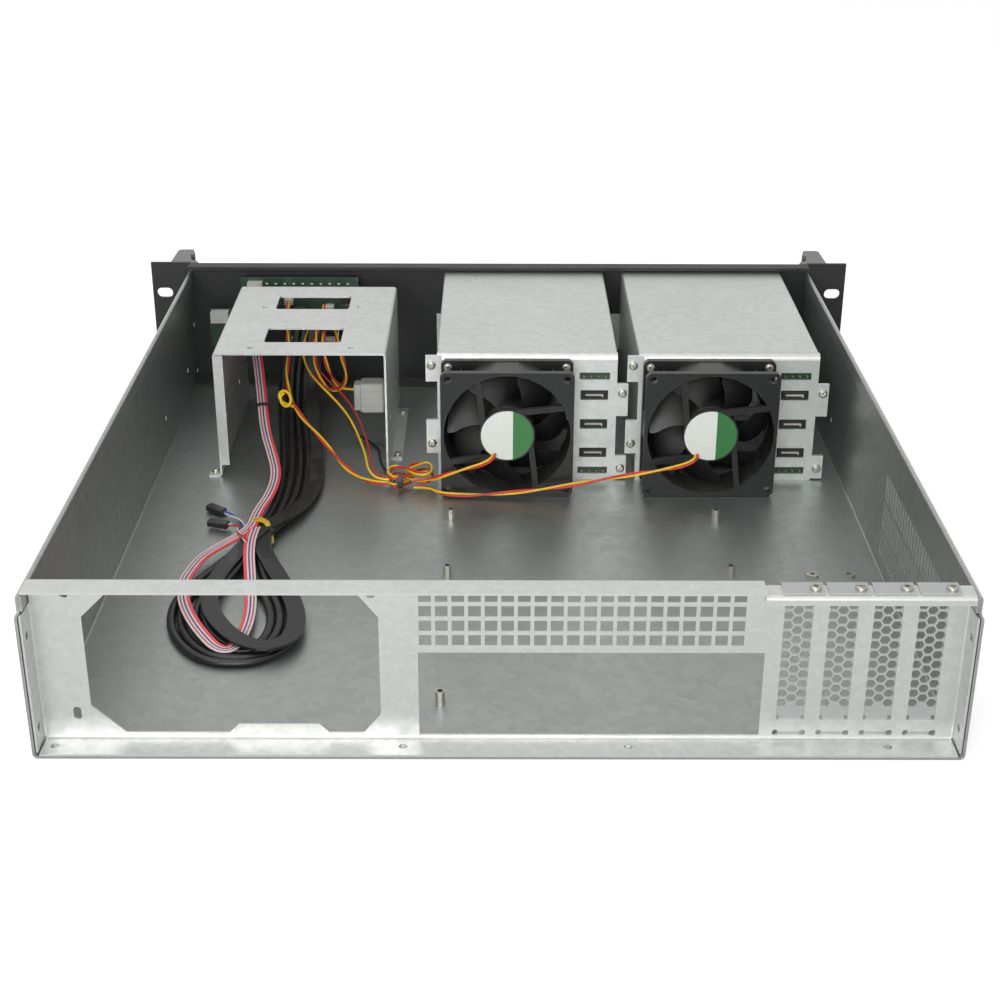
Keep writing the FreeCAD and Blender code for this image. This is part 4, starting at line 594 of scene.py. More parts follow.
def make_black_cables(sizes):
    """Black cables from the front board to the tie, each with its spare length coiled on the floor."""
    outer = [(0.142, -0.2119, 0.058), (0.142, -0.19, 0.058), (0.143, -0.155, 0.043),
             (0.1422, -0.125, 0.031), (0.1395, -0.1, 0.0195), (0.1365, -0.076, 0.0085),
             (0.1342, -0.05, 0.0044), (0.1338, -0.022, 0.004), (0.1356, 0.004, 0.0044),
             (0.138, 0.0175, 0.0052), (0.1405, 0.032, 0.0056), (0.145, 0.046, 0.0048),
             (0.1525, 0.0596, 0.0042), (0.1622, 0.0805, 0.0038), (0.17, 0.098, 0.0036),
             (0.1738, 0.1123, 0.0036), (0.1734, 0.1287, 0.0036), (0.17, 0.1434, 0.0036),
             (0.1636, 0.1564, 0.0036), (0.1554, 0.1672, 0.0036), (0.146, 0.1738, 0.0036),
             (0.135, 0.1754, 0.0036), (0.1235, 0.1742, 0.0036), (0.1151, 0.1684, 0.0036),
             (0.1074, 0.1566, 0.0036), (0.1042, 0.1407, 0.0036), (0.1058, 0.1218, 0.0036),
             (0.1103, 0.1061, 0.0036), (0.1179, 0.089, 0.0036), (0.1275, 0.07, 0.0038),
             (0.1332, 0.055, 0.004), (0.1372, 0.042, 0.004), (0.1388, 0.032, 0.004)]
    round_cable("black_cable_1", outer, sizes, replaces=("cable_bundle", "cable_coil"))
    round_cable("black_cable_2", beside(outer, -0.0052), sizes)
    inner = [(0.133, -0.2119, 0.056), (0.133, -0.19, 0.055), (0.1332, -0.155, 0.041),
             (0.1325, -0.125, 0.0285), (0.1298, -0.1, 0.0165), (0.1258, -0.076, 0.007),
             (0.1238, -0.05, 0.004), (0.1236, -0.022, 0.0038), (0.1262, 0.004, 0.0042),
             (0.1306, 0.0175, 0.0062), (0.1362, 0.034, 0.0076), (0.141, 0.05, 0.0066),
             (0.1475, 0.07, 0.0062), (0.1545, 0.092, 0.006), (0.16, 0.112, 0.0056), (0.1605, 0.133, 0.005),
             (0.152, 0.1515, 0.0046), (0.14, 0.1625, 0.0036), (0.126, 0.163, 0.0036),
             (0.1168, 0.156, 0.004), (0.1142, 0.1383, 0.0046), (0.1164, 0.1223, 0.0048),
             (0.1212, 0.107, 0.0048), (0.1285, 0.0872, 0.0048), (0.1352, 0.0624, 0.0056),
             (0.1375, 0.046, 0.006), (0.1378, 0.033, 0.0062)]
    round_cable("black_cable_3", inner, sizes)
    round_cable("black_cable_4", beside(inner, -0.0049), sizes)
    strap = [(0.124, -0.2119, 0.057), (0.124, -0.19, 0.056), (0.1232, -0.158, 0.045),
             (0.1225, -0.128, 0.0335), (0.1195, -0.1, 0.015), (0.116, -0.076, 0.0064),
             (0.1128, -0.047, 0.005), (0.114, -0.02, 0.005), (0.1208, 0.006, 0.0064),
             (0.1288, 0.0205, 0.0088), (0.1362, 0.034, 0.0096), (0.1412, 0.046, 0.0092),
             (0.145, 0.0584, 0.0088), (0.1501, 0.0766, 0.0086), (0.154, 0.093, 0.0084),
             (0.1548, 0.1126, 0.0084), (0.1525, 0.1278, 0.0084), (0.1453, 0.1437, 0.0084),
             (0.1363, 0.1568, 0.0084), (0.1264, 0.1649, 0.0082), (0.117, 0.1661, 0.008),
             (0.1093, 0.1614, 0.0076), (0.1052, 0.1508, 0.0072), (0.1055, 0.1338, 0.007),
             (0.1103, 0.115, 0.0072), (0.1181, 0.0955, 0.0076), (0.126, 0.077, 0.008),
             (0.1322, 0.0612, 0.0084), (0.1348, 0.046, 0.0084), (0.1358, 0.033, 0.0084)]
    flat_cable("black_cable_5", strap, sizes.strap_width, sizes.strap_thick, 3, ["cable"])


def make_ribbon(sizes):
    """Ribbon cable with its marked edge, from the front board's header through the tie into a loop."""
    route = [(0.168, -0.2059, 0.0755), (0.168, -0.186, 0.0755), (0.1635, -0.158, 0.059),
             (0.158, -0.136, 0.046), (0.1527, -0.1065, 0.0358), (0.1484, -0.0815, 0.0219),
             (0.142, -0.063, 0.0135), (0.1366, -0.042, 0.0096), (0.137, -0.014, 0.0092),
             (0.141, 0.008, 0.0094), (0.1417, 0.021, 0.01), (0.1421, 0.031, 0.0102),
             (0.1454, 0.0409, 0.0102), (0.1529, 0.0483, 0.0086), (0.1611, 0.0584, 0.0078),
             (0.1667, 0.0684, 0.0074), (0.1696, 0.0822, 0.0072), (0.1716, 0.093, 0.007),
             (0.1692, 0.1127, 0.007), (0.1646, 0.1279, 0.0078), (0.1588, 0.1414, 0.0078),
             (0.1513, 0.1545, 0.0072), (0.144, 0.1639, 0.0058), (0.1373, 0.1661, 0.0054),
             (0.1336, 0.1592, 0.0056), (0.1322, 0.1521, 0.0058), (0.1312, 0.1376, 0.0056),
             (0.1318, 0.1215, 0.0058), (0.1342, 0.1035, 0.0064), (0.1364, 0.0889, 0.0072),
             (0.1397, 0.0683, 0.0106), (0.1413, 0.0468, 0.0108), (0.1405, 0.034, 0.01)]
    flat_cable("ribbon_cable_piece", route, sizes.ribbon_width, sizes.ribbon_thick, 7,
               ["ribbon_pale", "ribbon_red", "ribbon_navy", "ribbon_brown"], [1, 1, 0, 2, 0, 3, 0],
               ("ribbon_cable",))


PAIR = ["yellow", "red"]


def make_leads(sizes):
    """Fan leads, board leads and their loops, the signal wires and the power lead."""
    board = [(0.067, -0.0365, 0.0056), (0.075, -0.0365, 0.0056), (0.086, -0.0445, 0.0054),
             (0.0965, -0.0545, 0.009), (0.105, -0.064, 0.0155), (0.1145, -0.073, 0.023),
             (0.125, -0.084, 0.03), (0.1332, -0.096, 0.037), (0.1372, -0.112, 0.045),
             (0.1372, -0.131, 0.0525), (0.1405, -0.156, 0.059), (0.145, -0.186, 0.065),
             (0.145, -0.2119, 0.065)]
    twisted_wires("board_lead_piece", board, sizes.wire, PAIR, 0.052, replaces=("board_lead",))
    signal = [(0.067, -0.0335, 0.0095), (0.074, -0.0335, 0.0095), (0.0805, -0.0405, 0.0125),
              (0.0825, -0.054, 0.0165), (0.088, -0.069, 0.0235), (0.0945, -0.083, 0.0305),
              (0.105, -0.098, 0.0365), (0.1165, -0.1135, 0.041), (0.125, -0.1295, 0.044),
              (0.1305, -0.15, 0.0475), (0.131, -0.172, 0.051), (0.129, -0.191, 0.054),
              (0.129, -0.2119, 0.054)]
    twisted_wires("signal_lead_piece", signal, sizes.wire, ["yellow"], replaces=("signal_lead",))
    second = [(0.067, -0.0375, 0.0095), (0.0735, -0.038, 0.0095), (0.079, -0.046, 0.012),
              (0.08, -0.06, 0.0155), (0.0845, -0.074, 0.0225), (0.09, -0.089, 0.0295),
              (0.099, -0.104, 0.036), (0.1105, -0.119, 0.0405), (0.1195, -0.134, 0.044),
              (0.1245, -0.153, 0.047), (0.1255, -0.174, 0.0505), (0.124, -0.192, 0.053),
              (0.124, -0.2119, 0.053)]
    twisted_wires("red_wire", second, sizes.thin_wire, ["red"])
    first = [(0.0029, -0.0275, 0.0293), (0.0029, -0.0213, 0.0293), (0.0102, -0.0211, 0.0249),
             (0.02, -0.0225, 0.0216), (0.034, -0.024, 0.0165), (0.0412, -0.0326, 0.0098),
             (0.052, -0.0326, 0.0098)]
    twisted_wires("fan_lead_1_piece", first, sizes.wire, PAIR, 0.060, replaces=("fan_lead_1",))
    second = [(-0.1196, -0.0275, 0.0293), (-0.1196, -0.0213, 0.0293), (-0.1124, -0.0211, 0.025),
              (-0.1005, -0.022, 0.0218), (-0.0853, -0.0215, 0.0194), (-0.0613, -0.0219, 0.0149),
              (-0.0372, -0.0213, 0.0102), (-0.0129, -0.0218, 0.0068), (0.008, -0.0223, 0.0046),
              (0.021, -0.0228, 0.0039), (0.036, -0.0242, 0.0043), (0.0432, -0.034, 0.0046),
              (0.052, -0.034, 0.0046)]
    twisted_wires("fan_lead_2_piece", second, sizes.wire, PAIR, 0.070, replaces=("fan_lead_2",))
    make_loops(sizes)
    slack = [(0.121, -0.2119, 0.061), (0.121, -0.19, 0.06), (0.1225, -0.16, 0.056), (0.1215, -0.138, 0.05),
             (0.1175, -0.122, 0.042), (0.111, -0.1165, 0.0355), (0.1035, -0.1215, 0.0335),
             (0.1, -0.135, 0.0365), (0.1035, -0.15, 0.0435), (0.1085, -0.165, 0.05), (0.112, -0.19, 0.054),
             (0.112, -0.2119, 0.054)]
    twisted_wires("power_slack", slack, sizes.wire, PAIR, 0.040)
    power = [(0.117, -0.2119, 0.06), (0.117, -0.191, 0.06), (0.118, -0.167, 0.055), (0.116, -0.147, 0.046),
             (0.11, -0.131, 0.038), (0.1023, -0.124, 0.033), (0.0945, -0.124, 0.033)]
    twisted_wires("power_lead_piece", power, sizes.wire, PAIR, 0.050, replaces=("power_lead",),
                  with_pieces=[make_power_plug()])
    spare = [(0.0945, -0.1215, 0.024), (0.099, -0.1205, 0.0205), (0.0985, -0.1185, 0.009),
             (0.092, -0.115, 0.0042), (0.084, -0.108, 0.0026), (0.077, -0.096, 0.0024),
             (0.076, -0.08, 0.0024), (0.0715, -0.063, 0.0026), (0.066, -0.05, 0.0032),
             (0.064, -0.042, 0.004)]
    twisted_wires("black_wire", spare, sizes.thin_wire, ["cable"])
    plugs = make_signal_plugs()
    left = [(0.1472, 0.034, 0.0032), (0.1472, 0.026, 0.0032), (0.151, 0.014, 0.0033),
            (0.157, 0.0055, 0.0035), (0.164, 0.0005, 0.0036)]
    right = [(0.1425, 0.055, 0.0112), (0.1465, 0.0475, 0.0116), (0.1495, 0.041, 0.0106),
             (0.1506, 0.034, 0.0084), (0.1506, 0.028, 0.0066), (0.1528, 0.0225, 0.0052),
             (0.1585, 0.0205, 0.0048)]
    twisted_wires("signal_wires_1", left, sizes.thin_wire, ["blue", "white"], 0.030, 0.55, ("signal_wires",),
                  with_pieces=[plugs[0]])
    twisted_wires("signal_wires_2", right, sizes.thin_wire, ["red", "white"], 0.026, 0.55,
                  with_pieces=[plugs[1]])


def make_loops(sizes):
    """Hank of spare wire where fan and board leads meet, looped to and fro, with its black tie."""
    x, y, foot, rise = 0.0545, -0.0415, 0.0046, 0.0025
    turns = [(x + 0.0135 * math.sin(a), y + 0.0078 * math.sin(2 * a), foot + rise * a / math.pi)
             for a in (math.pi * k / 8 for k in range(33))]
    twisted_wires("lead_loops_piece", turns, sizes.wire, PAIR, 0.046, 0.55, ("lead_loops",))
    band = Skin()
    ring = [(-0.0012, -0.0004), (0.0012, -0.0004), (0.0012, 0.0004), (-0.0012, 0.0004)]
    rings = []
    for k in range(25):
        a = 2 * math.pi * k / 24
        out = Vector((0, math.cos(a), math.sin(a)))
        middle = Vector((0.0603, -0.0355, 0.0079)) + out * 0.0042
        rings.append([middle + Vector((1, 0, 0)) * u + out * v for u, v in ring])
    band.loft(rings)
    band.box((0.0585, -0.0322, 0.0060), (0.0621, -0.0300, 0.0098), 0.0004)
    band.piece("loops_tie", "case", ["black"])


def make_power_plug():
    """Natural nylon power plug: ribbed shell, four chambers with brass contacts, and a latch."""
    low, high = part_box("power_plug")
    skin = Skin()
    skin.box((low[0], low[1], low[2]), (high[0] - 0.004, high[1], high[2]), 0.0009)
    skin.box((high[0] - 0.0045, low[1] + 0.0012, low[2] + 0.0012),
             (high[0], high[1] - 0.0012, high[2] - 0.0012), 0.0007)
    for k in range(4):
        z = low[2] + 0.0026 + k * 0.0051
        skin.box((low[0] + 0.0015, high[1] - 0.0006, z - 0.0011),
                 (high[0] - 0.0055, high[1] - 0.00005, z + 0.0011), 0.0003)
        skin.lathe((high[0] - 0.0006, (low[1] + high[1]) / 2, z), (1, 0, 0),
                   [(0.0016, 0), (0.0016, 0.0004), (0.0011, 0.0006)], 12, 1)
    return skin.piece("power_plug_piece", "case", ["nylon", "brass"], ("power_plug",))


def make_signal_plugs():
    """Black crimp housings at the ends of the signal wires, each with two contact windows."""
    plugs = []
    for start, way in ((Vector((0.1636, 0.0008, 0.0036)), Vector((0.012, -0.0085, 0.0002))),
                       (Vector((0.1582, 0.0206, 0.0048)), Vector((0.0128, -0.0040, 0.0)))):
        skin = Skin()
        way = way.normalized()
        side = way.cross(UP).normalized()
        half, tall = 0.0027, 0.0019
        section = ((-1, -0.7), (-0.8, -1), (0.8, -1), (1, -0.7), (1, 0.7), (0.8, 1), (-0.8, 1), (-1, 0.7))
        skin.loft([[start + way * gone + (side * (half * u) + UP * (tall * v)) * ease for u, v in section]
                   for gone, ease in ((0, 0.82), (0.0004, 1.0), (0.0122, 1.0), (0.0126, 0.86))])
        for u in (-0.45, 0.45):
            window = [start + way * gone + side * (half * (u + w))
                      for gone, w in ((0.003, -0.16), (0.003, 0.16), (0.006, 0.16), (0.006, -0.16))]
            skin.loft([[p + UP * tall * rise for p in window] for rise in (0.96, 1.015)], 1)
        name = "signal_plug_%d" % (len(plugs) + 1)
        plugs.append(skin.piece(name, "case", ["black", "fan"], ("signal_plugs",)))
    return plugs


def make_ties(sizes):
    """Gold-yellow wrap round the coil's neck with its pale end, the ribbon's tie, and the lead's knot."""
    middle = Vector((0.1379, 0.028, 0.0066))
    skin = Skin()
    rings, band = [], ((-0.0016, -0.0003), (0.0016, -0.0003), (0.0016, 0.0003), (-0.0016, 0.0003))
    for k in range(61):
        a = 4 * math.pi * k / 60
        out = Vector((math.cos(a), 0, math.sin(a)))
        reach = Vector((out.x * 0.0070, 0, out.z * 0.0050)) * (1 + 0.02 * math.sin(5 * a))
        rest = middle + reach + Vector((0, 0.0019 * (k / 30 - 1) - out.x * 0.0030, 0))
        rings.append([rest + REAR * u + out * v for u, v in band])
    skin.loft(rings)
    tail = along([(0.14, 0.0275, 0.0116), (0.1362, 0.029, 0.0121), (0.133, 0.032, 0.0105),
                  (0.1312, 0.0372, 0.0072), (0.1302, 0.043, 0.0046)])
    skin.sweep(tail, [(-0.0014, -0.0003), (0.0014, -0.0003), (0.0014, 0.0003), (-0.0014, 0.0003)])
    tip = tail[-1]
    skin.box(tip - Vector((0.0010, 0.0009, 0.0006)), tip + Vector((0.0010, 0.0004, 0.0006)), 0.0002, 1)
    skin.piece("cable_tie_piece", "case", ["tie", "white"], ("cable_tie",))
    wrap = Skin()
    middle, rings = Vector((0.1512, -0.0990, 0.0318)), []
    way = Vector((-0.0043, 0.025, -0.0139)).normalized()
    side = way.cross(UP).normalized()
    for k in range(25):
        a = 2 * math.pi * k / 24
        out = side * math.cos(a) * 0.0036 + side.cross(way) * math.sin(a) * 0.0012
        rings.append([middle + out * grow + way * u
                      for u, grow in ((-0.0012, 1.0), (0.0012, 1.0), (0.0012, 1.18), (-0.0012, 1.18))])
    wrap.loft(rings)
    wrap.piece("ribbon_tie", "case", ["black"])
    knot = [(0.1307, -0.0905, 0.0344), (0.1347, -0.0895, 0.0362), (0.1383, -0.088, 0.0392),
            (0.1397, -0.0895, 0.0434), (0.1365, -0.0912, 0.0454), (0.1327, -0.0905, 0.0432),
            (0.1315, -0.0885, 0.0384), (0.1343, -0.0868, 0.0352), (0.138, -0.0872, 0.038),
            (0.1387, -0.0888, 0.0424), (0.1359, -0.0898, 0.044)]
    twisted_wires("wire_knot", knot, sizes.wire * 1.3, ["yellow"])


# ---------------------------------------------------------------- repeated fittings
def end_tree(tree, instances, given, made):
    """Ends a tree of geometry nodes with real geometry in its finish."""
    real = node(tree, "GeometryNodeRealizeInstances", {"Geometry": instances})
    coat = node(tree, "GeometryNodeSetMaterial",
                {"Geometry": real.outputs["Geometry"], "Material": given["Finish"]})
    tree.links.new(coat.outputs["Geometry"], made["Geometry"])
    return tree


def placed_tree():
    """Geometry nodes that set one shape at every point, faced along the point's way and turned at random."""
    tree, given, made = shape_group("Shape at points", {
        "Shape": "Object", "Random turn": "Float", "Seed": "Int", "Finish": "Material"})
    points = node(tree, "GeometryNodeMeshToPoints", {"Mesh": given["Geometry"]})
    shape = node(tree, "GeometryNodeObjectInfo", {"Object": given["Shape"]})
    way = node(tree, "GeometryNodeInputNamedAttribute", {"Name": "way"}, data_type="FLOAT_VECTOR")
    face = node(tree, "FunctionNodeAlignRotationToVector", {"Vector": way.outputs["Attribute"]}, axis="Z")
    turn = node(tree, "FunctionNodeRandomValue", {3: given["Random turn"], "Seed": given["Seed"]})
    spin = node(tree, "FunctionNodeAxisAngleToRotation", {"Axis": (0, 0, 1), "Angle": turn.outputs[1]})
    both = node(tree, "FunctionNodeRotateRotation",
                {"Rotation": face.outputs["Rotation"], "Rotate By": spin.outputs["Rotation"]},
                rotation_space="LOCAL")
    put = node(tree, "GeometryNodeInstanceOnPoints",
               {"Points": points.outputs["Points"], "Instance": shape.outputs["Geometry"],
                "Rotation": both.outputs["Rotation"]})
    return end_tree(tree, put.outputs["Instances"], given, made)


def rotor_tree():
    """Geometry nodes that set evenly turned copies of one blade round a hub's shaft."""
    tree, given, made = shape_group("Blades round a hub", {
        "Blade": "Object", "Blades": "Int", "Middle": "Vector", "Finish": "Material"})
    shape = node(tree, "GeometryNodeObjectInfo", {"Object": given["Blade"]})
    points = node(tree, "GeometryNodePoints", {"Count": given["Blades"], "Position": given["Middle"]})
    index = tree.nodes.new("GeometryNodeInputIndex").outputs[0]
    angle = maths(tree, "MULTIPLY", maths(tree, "DIVIDE", index, given["Blades"]), 2 * math.pi)
    spin = node(tree, "FunctionNodeAxisAngleToRotation", {"Axis": (0, 1, 0), "Angle": angle})
    put = node(tree, "GeometryNodeInstanceOnPoints",
               {"Points": points.outputs["Points"], "Instance": shape.outputs["Geometry"],
                "Rotation": spin.outputs["Rotation"]})
    both = node(tree, "GeometryNodeJoinGeometry", {"Geometry": put.outputs["Instances"]})
    tree.links.new(given["Geometry"], both.inputs["Geometry"])
    return end_tree(tree, both.outputs["Geometry"], given, made)


def grown(source, tree, values):
    """Mesh that a tree of geometry nodes makes from a helper shape, which is removed."""
    modifier = source.modifiers.new("fittings", "NODES")
    modifier.node_group = tree
    for socket in tree.interface.items_tree:
        if socket.in_out == "INPUT" and socket.name in values:
            modifier[socket.identifier] = values[socket.name]
    made = bpy.data.meshes.new_from_object(source.evaluated_get(bpy.context.evaluated_depsgraph_get()))
    drop(source)
    return made


def helper(name, points, faces=()):
    """Helper shape for the geometry nodes."""
    mesh = bpy.data.meshes.new(name)
    mesh.from_pydata(points, [], faces)
    made = bpy.data.objects.new(name, mesh)
    bpy.context.collection.objects.link(made)
    return made


def drop(made):
    """Removes a helper shape."""
    mesh = made.data
    bpy.data.objects.remove(made)
    bpy.data.meshes.remove(mesh)


def set_at_points(node_name, tree, places, ways, shape, look, turn, seed):
    """One piece with the shape at every place, in place of a node of the case."""
    name = node_name + "_piece"
    source = helper(name + "_places", [tuple(p) for p in places])
    store = source.data.attributes.new("way", "FLOAT_VECTOR", "POINT")
    for point, way in zip(store.data, ways):
        point.vector = way
    made = grown(source, tree, {"Shape": shape, "Random turn": turn, "Seed": seed, "Finish": LOOKS[look]})
    made.name = name
    settle(name, made, "case", (node_name,))


def screw_head(sizes):
    """Pan head with a cross recess, standing on its seat with its axis up."""
    reach, arm, web = sizes.screw_radius, 0.55, 0.17
    corner = [(arm, -web), (arm, 0.0), (arm, web), (web * 1.9, web), (web, web), (web, web * 1.9)]
    star = []
    for quarter in range(4):
        c, s = math.cos(quarter * math.pi / 2), math.sin(quarter * math.pi / 2)
        star += [(x * c - y * s, x * s + y * c) for x, y in corner]
    angles = [math.atan2(y, x) for x, y in star]
    high = sizes.screw_height
    rings = [[(reach * r * math.cos(a), reach * r * math.sin(a), high * z) for a in angles]
             for r, z in ((1.0, 0.0), (1.0, 0.42), (0.93, 0.72), (0.80, 0.92), (0.66, 1.0))]
    rings.append([(x * reach, y * reach, high) for x, y in star])
    rings.append([(x * reach * 0.86, y * reach * 0.86, high * 0.45) for x, y in star])
    skin = Skin()
    skin.loft(rings)
    return helper("screw_head", skin.points, skin.faces)


def make_screws(sizes, tree):
    """Pan head screws of the cages, fans, bracket and card covers."""
    head = screw_head(sizes)
    for name in ("case_screws", "fan_screws"):
        places, ways = [], []
        for low, high in islands(name):
            thin = min(range(3), key=lambda axis: high[axis] - low[axis])
            place = (low + high) / 2
            place[thin] = low[thin]
            way = [0, 0, 0]
            way[thin] = 1
            places.append(place)
            ways.append(way)
        set_at_points(name, tree, places, ways, head, "steel", 2 * math.pi, 7)
    drop(head)


def make_power_pins(tree):
    """Brass pins of the drive boards' power headers, each with a chamfered tip."""
    skin = Skin()
    skin.lathe((0, 0, 0), (0, 0, 1), [(0.00066, 0), (0.00066, 0.0019), (0.00036, 0.0024)], 10)
    pin = helper("pin", skin.points, skin.faces)
    places = [((low.x + high.x) / 2, low.y, (low.z + high.z) / 2) for low, high in islands("power_pins")]
    set_at_points("power_pins", tree, places, [(0, 1, 0)] * len(places), pin, "brass", 0.0, 3)
    drop(pin)


def fan_blade(low, high):
    """Swept and pitched blade with a rounded tip, about the shaft's middle."""
    skin, rings = Skin(), []
    for row in range(9):
        share = row / 8
        r = 0.0150 + 0.0212 * share
        sweep = 0.10 * share + 0.34 * share ** 2
        half = 0.40 + 0.04 * math.sin(math.pi * share) - 0.12 * max(0.0, share - 0.8) * 5
        ring = []
        for side in (1, -1):
            for k in range(9):
                at = k / 8 if side > 0 else 1 - k / 8
                a = sweep + half * (2 * at - 1)
                rise = low + (high - low) * (at + 0.06 * math.sin(math.pi * at)) * (1 - 0.12 * share)
                thick = 0.0007 * math.sin(math.pi * min(max(at, 0.06), 0.94)) ** 0.5 * side
                ring.append((r * math.sin(a), rise + thick, r * math.cos(a)))
        rings.append(ring)
    skin.loft(rings)
    return helper("fan_blade", skin.points, skin.faces)


def make_rotors(tree):
    """Impeller of each fan: turned hub, shaft, and seven blades placed by geometry nodes."""
    for number in (1, 2):
        name = "fan_rotor_%d" % number
        (_, front, _), (_, back, _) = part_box(name)
        low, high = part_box("fan_frame_%d" % number)
        middle = Vector(((low[0] + high[0]) / 2, 0, (low[2] + high[2]) / 2))
        blade = fan_blade(front + 0.0016, back - 0.0052)
        cup = back - front - 0.0035
        hub = Skin()
        hub.lathe((middle.x, front, middle.z), (0, 1, 0),
                  [(0.0148, 0), (0.0162, 0.0010), (0.0166, 0.0024), (0.0166, cup - 0.0008), (0.0158, cup),
                   (0.0015, cup), (0.0015, back - front)], 40)
        made = grown(helper(name + "_hub", hub.points, hub.faces), tree,
                     {"Blade": blade, "Blades": 7, "Middle": tuple(middle), "Finish": LOOKS["fan"]})
        made.name = name + "_piece"
        drop(blade)
        settle(name + "_piece", made, "rotor_%d" % number, (name,))


def make_fan_fittings(sizes):
    """Hub labels in two plain colour fields, and the corner ribs of each fan."""
    for number in (1, 2):
        low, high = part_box("fan_frame_%d" % number)
        x, z, y = (low[0] + high[0]) / 2, (low[2] + high[2]) / 2, high[1]
        label = Skin()
        reach, split = sizes.label_radius, -sizes.label_radius * 0.22
        start = math.acos(split / reach)
        for slot, first, last in ((0, -start, start), (1, start, 2 * math.pi - start)):
            edge = []
            for k in range(37):
                a = first + (last - first) * k / 36
                edge.append((x + reach * math.cos(a), z + reach * math.sin(a)))
            label.loft([[(u, y - 0.0001, v) for u, v in edge], [(u, y + 0.00018, v) for u, v in edge]], slot)
        label.piece("fan_label_%d" % number, "case", ["label_white", "label_green"])
        ribs = Skin()
        for a in range(4):
            turn = math.pi / 4 + a * math.pi / 2
            for shift in (-0.10, 0.10):
                across, up = 0.0440 * math.cos(turn + shift), 0.0440 * math.sin(turn + shift)
                ends = [Vector((x + across, at, z + up)) for at in (low[1] + 0.0042, high[1] - 0.0042)]
                ribs.tube(ends, 0.0008, 6)
        ribs.piece("fan_ribs_%d" % number, "case", ["fan"])


def make_sockets():
    """Drive sockets: shell, pale tongue and contacts, in the windows of the connector strips."""
    skin = Skin()
    rim, fine = 0.0006, 0.0002
    for low, high in islands("sata_sockets"):
        (left, back, foot), (right, front, top) = low, high
        seat, middle = back + 0.0004, (foot + top) / 2
        skin.box(low, (right, back + rim, top), fine)
        skin.box((left, seat, foot), (left + rim, front, top), fine)
        skin.box((right - rim, seat, foot), high, fine)
        skin.box((left + rim, seat, foot), (right - rim, front, foot + rim), fine)
        skin.box((left + rim, seat, top - rim), (right - rim, front, top), fine)
        tongue, lip = left + 0.0022, front - 0.0001
        skin.box((tongue, seat, middle - 0.0006), (right - 0.0022, lip, middle + 0.0006), fine, 1)
        skin.box((tongue, seat, middle - 0.0014), (tongue + 0.0010, lip, middle - 0.0004), fine, 1)
        for k in range(7):
            at = left + 0.0042 + k * 0.00127
            skin.box((at - 0.0003, back + rim, middle + 0.00055),
                     (at + 0.0003, front - fine, middle + 0.00075), 0.00005, 2)
    skin.piece("sata_sockets_piece", "case", ["black", "nylon", "brass"], ("sata_sockets",))


def make_board_parts():
    """Chips, passives, solder rows and plugs on the rear faces of the boards at the front."""
    low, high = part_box("front_io_board")
    y = high[1]
    skin = Skin()
    skin.box((0.1005, y, 0.0620), (0.1095, y + 0.0016, 0.0710), 0.0003, 0)
    skin.box((0.1490, y, 0.0560), (0.1560, y + 0.0014, 0.0620), 0.0003, 0)
    for k in range(8):
        skin.box((0.1012 + k * 0.001, y, 0.0608), (0.1016 + k * 0.001, y + 0.0006, 0.0620), 0.0001, 1)
        skin.box((0.1012 + k * 0.001, y, 0.0710), (0.1016 + k * 0.001, y + 0.0006, 0.0722), 0.0001, 1)
    for k in range(10):
        x = 0.1035 + k * 0.0062
        skin.box((x, y, 0.0760), (x + 0.0016, y + 0.0007, 0.0769), 0.0001, 2)
        skin.lathe((x + 0.002, y, 0.0542), (0, 1, 0), [(0.0007, 0), (0.0005, 0.0004), (0.0002, 0.0007)], 8, 1)
    for x, z in ((0.139, 0.058), (0.126, 0.057), (0.133, 0.0552)):
        skin.box((x - 0.0052, y, z - 0.0024), (x + 0.0052, y + 0.0075, z + 0.0024), 0.0005, 0)
    for x, z in ((0.145, 0.065), (0.117, 0.060), (0.129, 0.054), (0.124, 0.0525)):
        skin.box((x - 0.0030, y, z - 0.0022), (x + 0.0030, y + 0.0062, z + 0.0022), 0.0004, 3)
    skin.piece("board_parts", "case", ["black", "steel", "lens", "nylon"])


def make_rims():
    """Rounded hems along the tops of the tray's side walls, in the brighter zinc as a painted highlight."""
    skin = Skin()
    for side in (-1, 1):
        x = side * 0.2144
        skin.tube([Vector((x, -0.2185, 0.08215)), Vector((x, 0.2500, 0.08215))], 0.00042, 8)
    # The brighter zinc paints the highlight along the wall tops.
    skin.piece("wall_rims", "case", ["zinc"])


# ---------------------------------------------------------------- stage
def place_camera():
    """Camera behind and above the rear panel."""
    data = bpy.data.cameras.new("camera")
    data.sensor_width = 36.0
    data.lens = 61.19
    data.clip_start = 0.01
    data.clip_end = 20.0
    pitch, yaw, roll = 0.4412, -0.0028, 0.0032
    forward = Vector((0, -math.cos(pitch), -math.sin(pitch)))
    right = Vector((-1, 0, 0))
    turn = Matrix.Rotation(yaw, 3, "Z")
    forward, right = turn @ forward, turn @ right
    up = right.cross(forward)
    right, up = right * math.cos(roll) + up * math.sin(roll), up * math.cos(roll) - right * math.sin(roll)
    eye = bpy.data.objects.new("camera", data)
    bpy.context.collection.objects.link(eye)
    eye.matrix_world = Matrix((
        (right.x, up.x, -forward.x, 0.001794),
        (right.y, up.y, -forward.y, 0.913659),
        (right.z, up.z, -forward.z, 0.443066),
        (0, 0, 0, 1)))
    bpy.context.scene.camera = eye


def lamp(name, place, target, wide, deep, watts):
    """Soft rectangular lamp aimed at a point."""
    data = bpy.data.lights.new(name, "AREA")
    data.shape = "RECTANGLE"
    data.size, data.size_y = wide, deep
    data.energy = watts
    made = bpy.data.objects.new(name, data)
    bpy.context.collection.objects.link(made)
    made.location = place
    made.rotation_euler = (Vector(target) - Vector(place)).to_track_quat("-Z", "Y").to_euler()


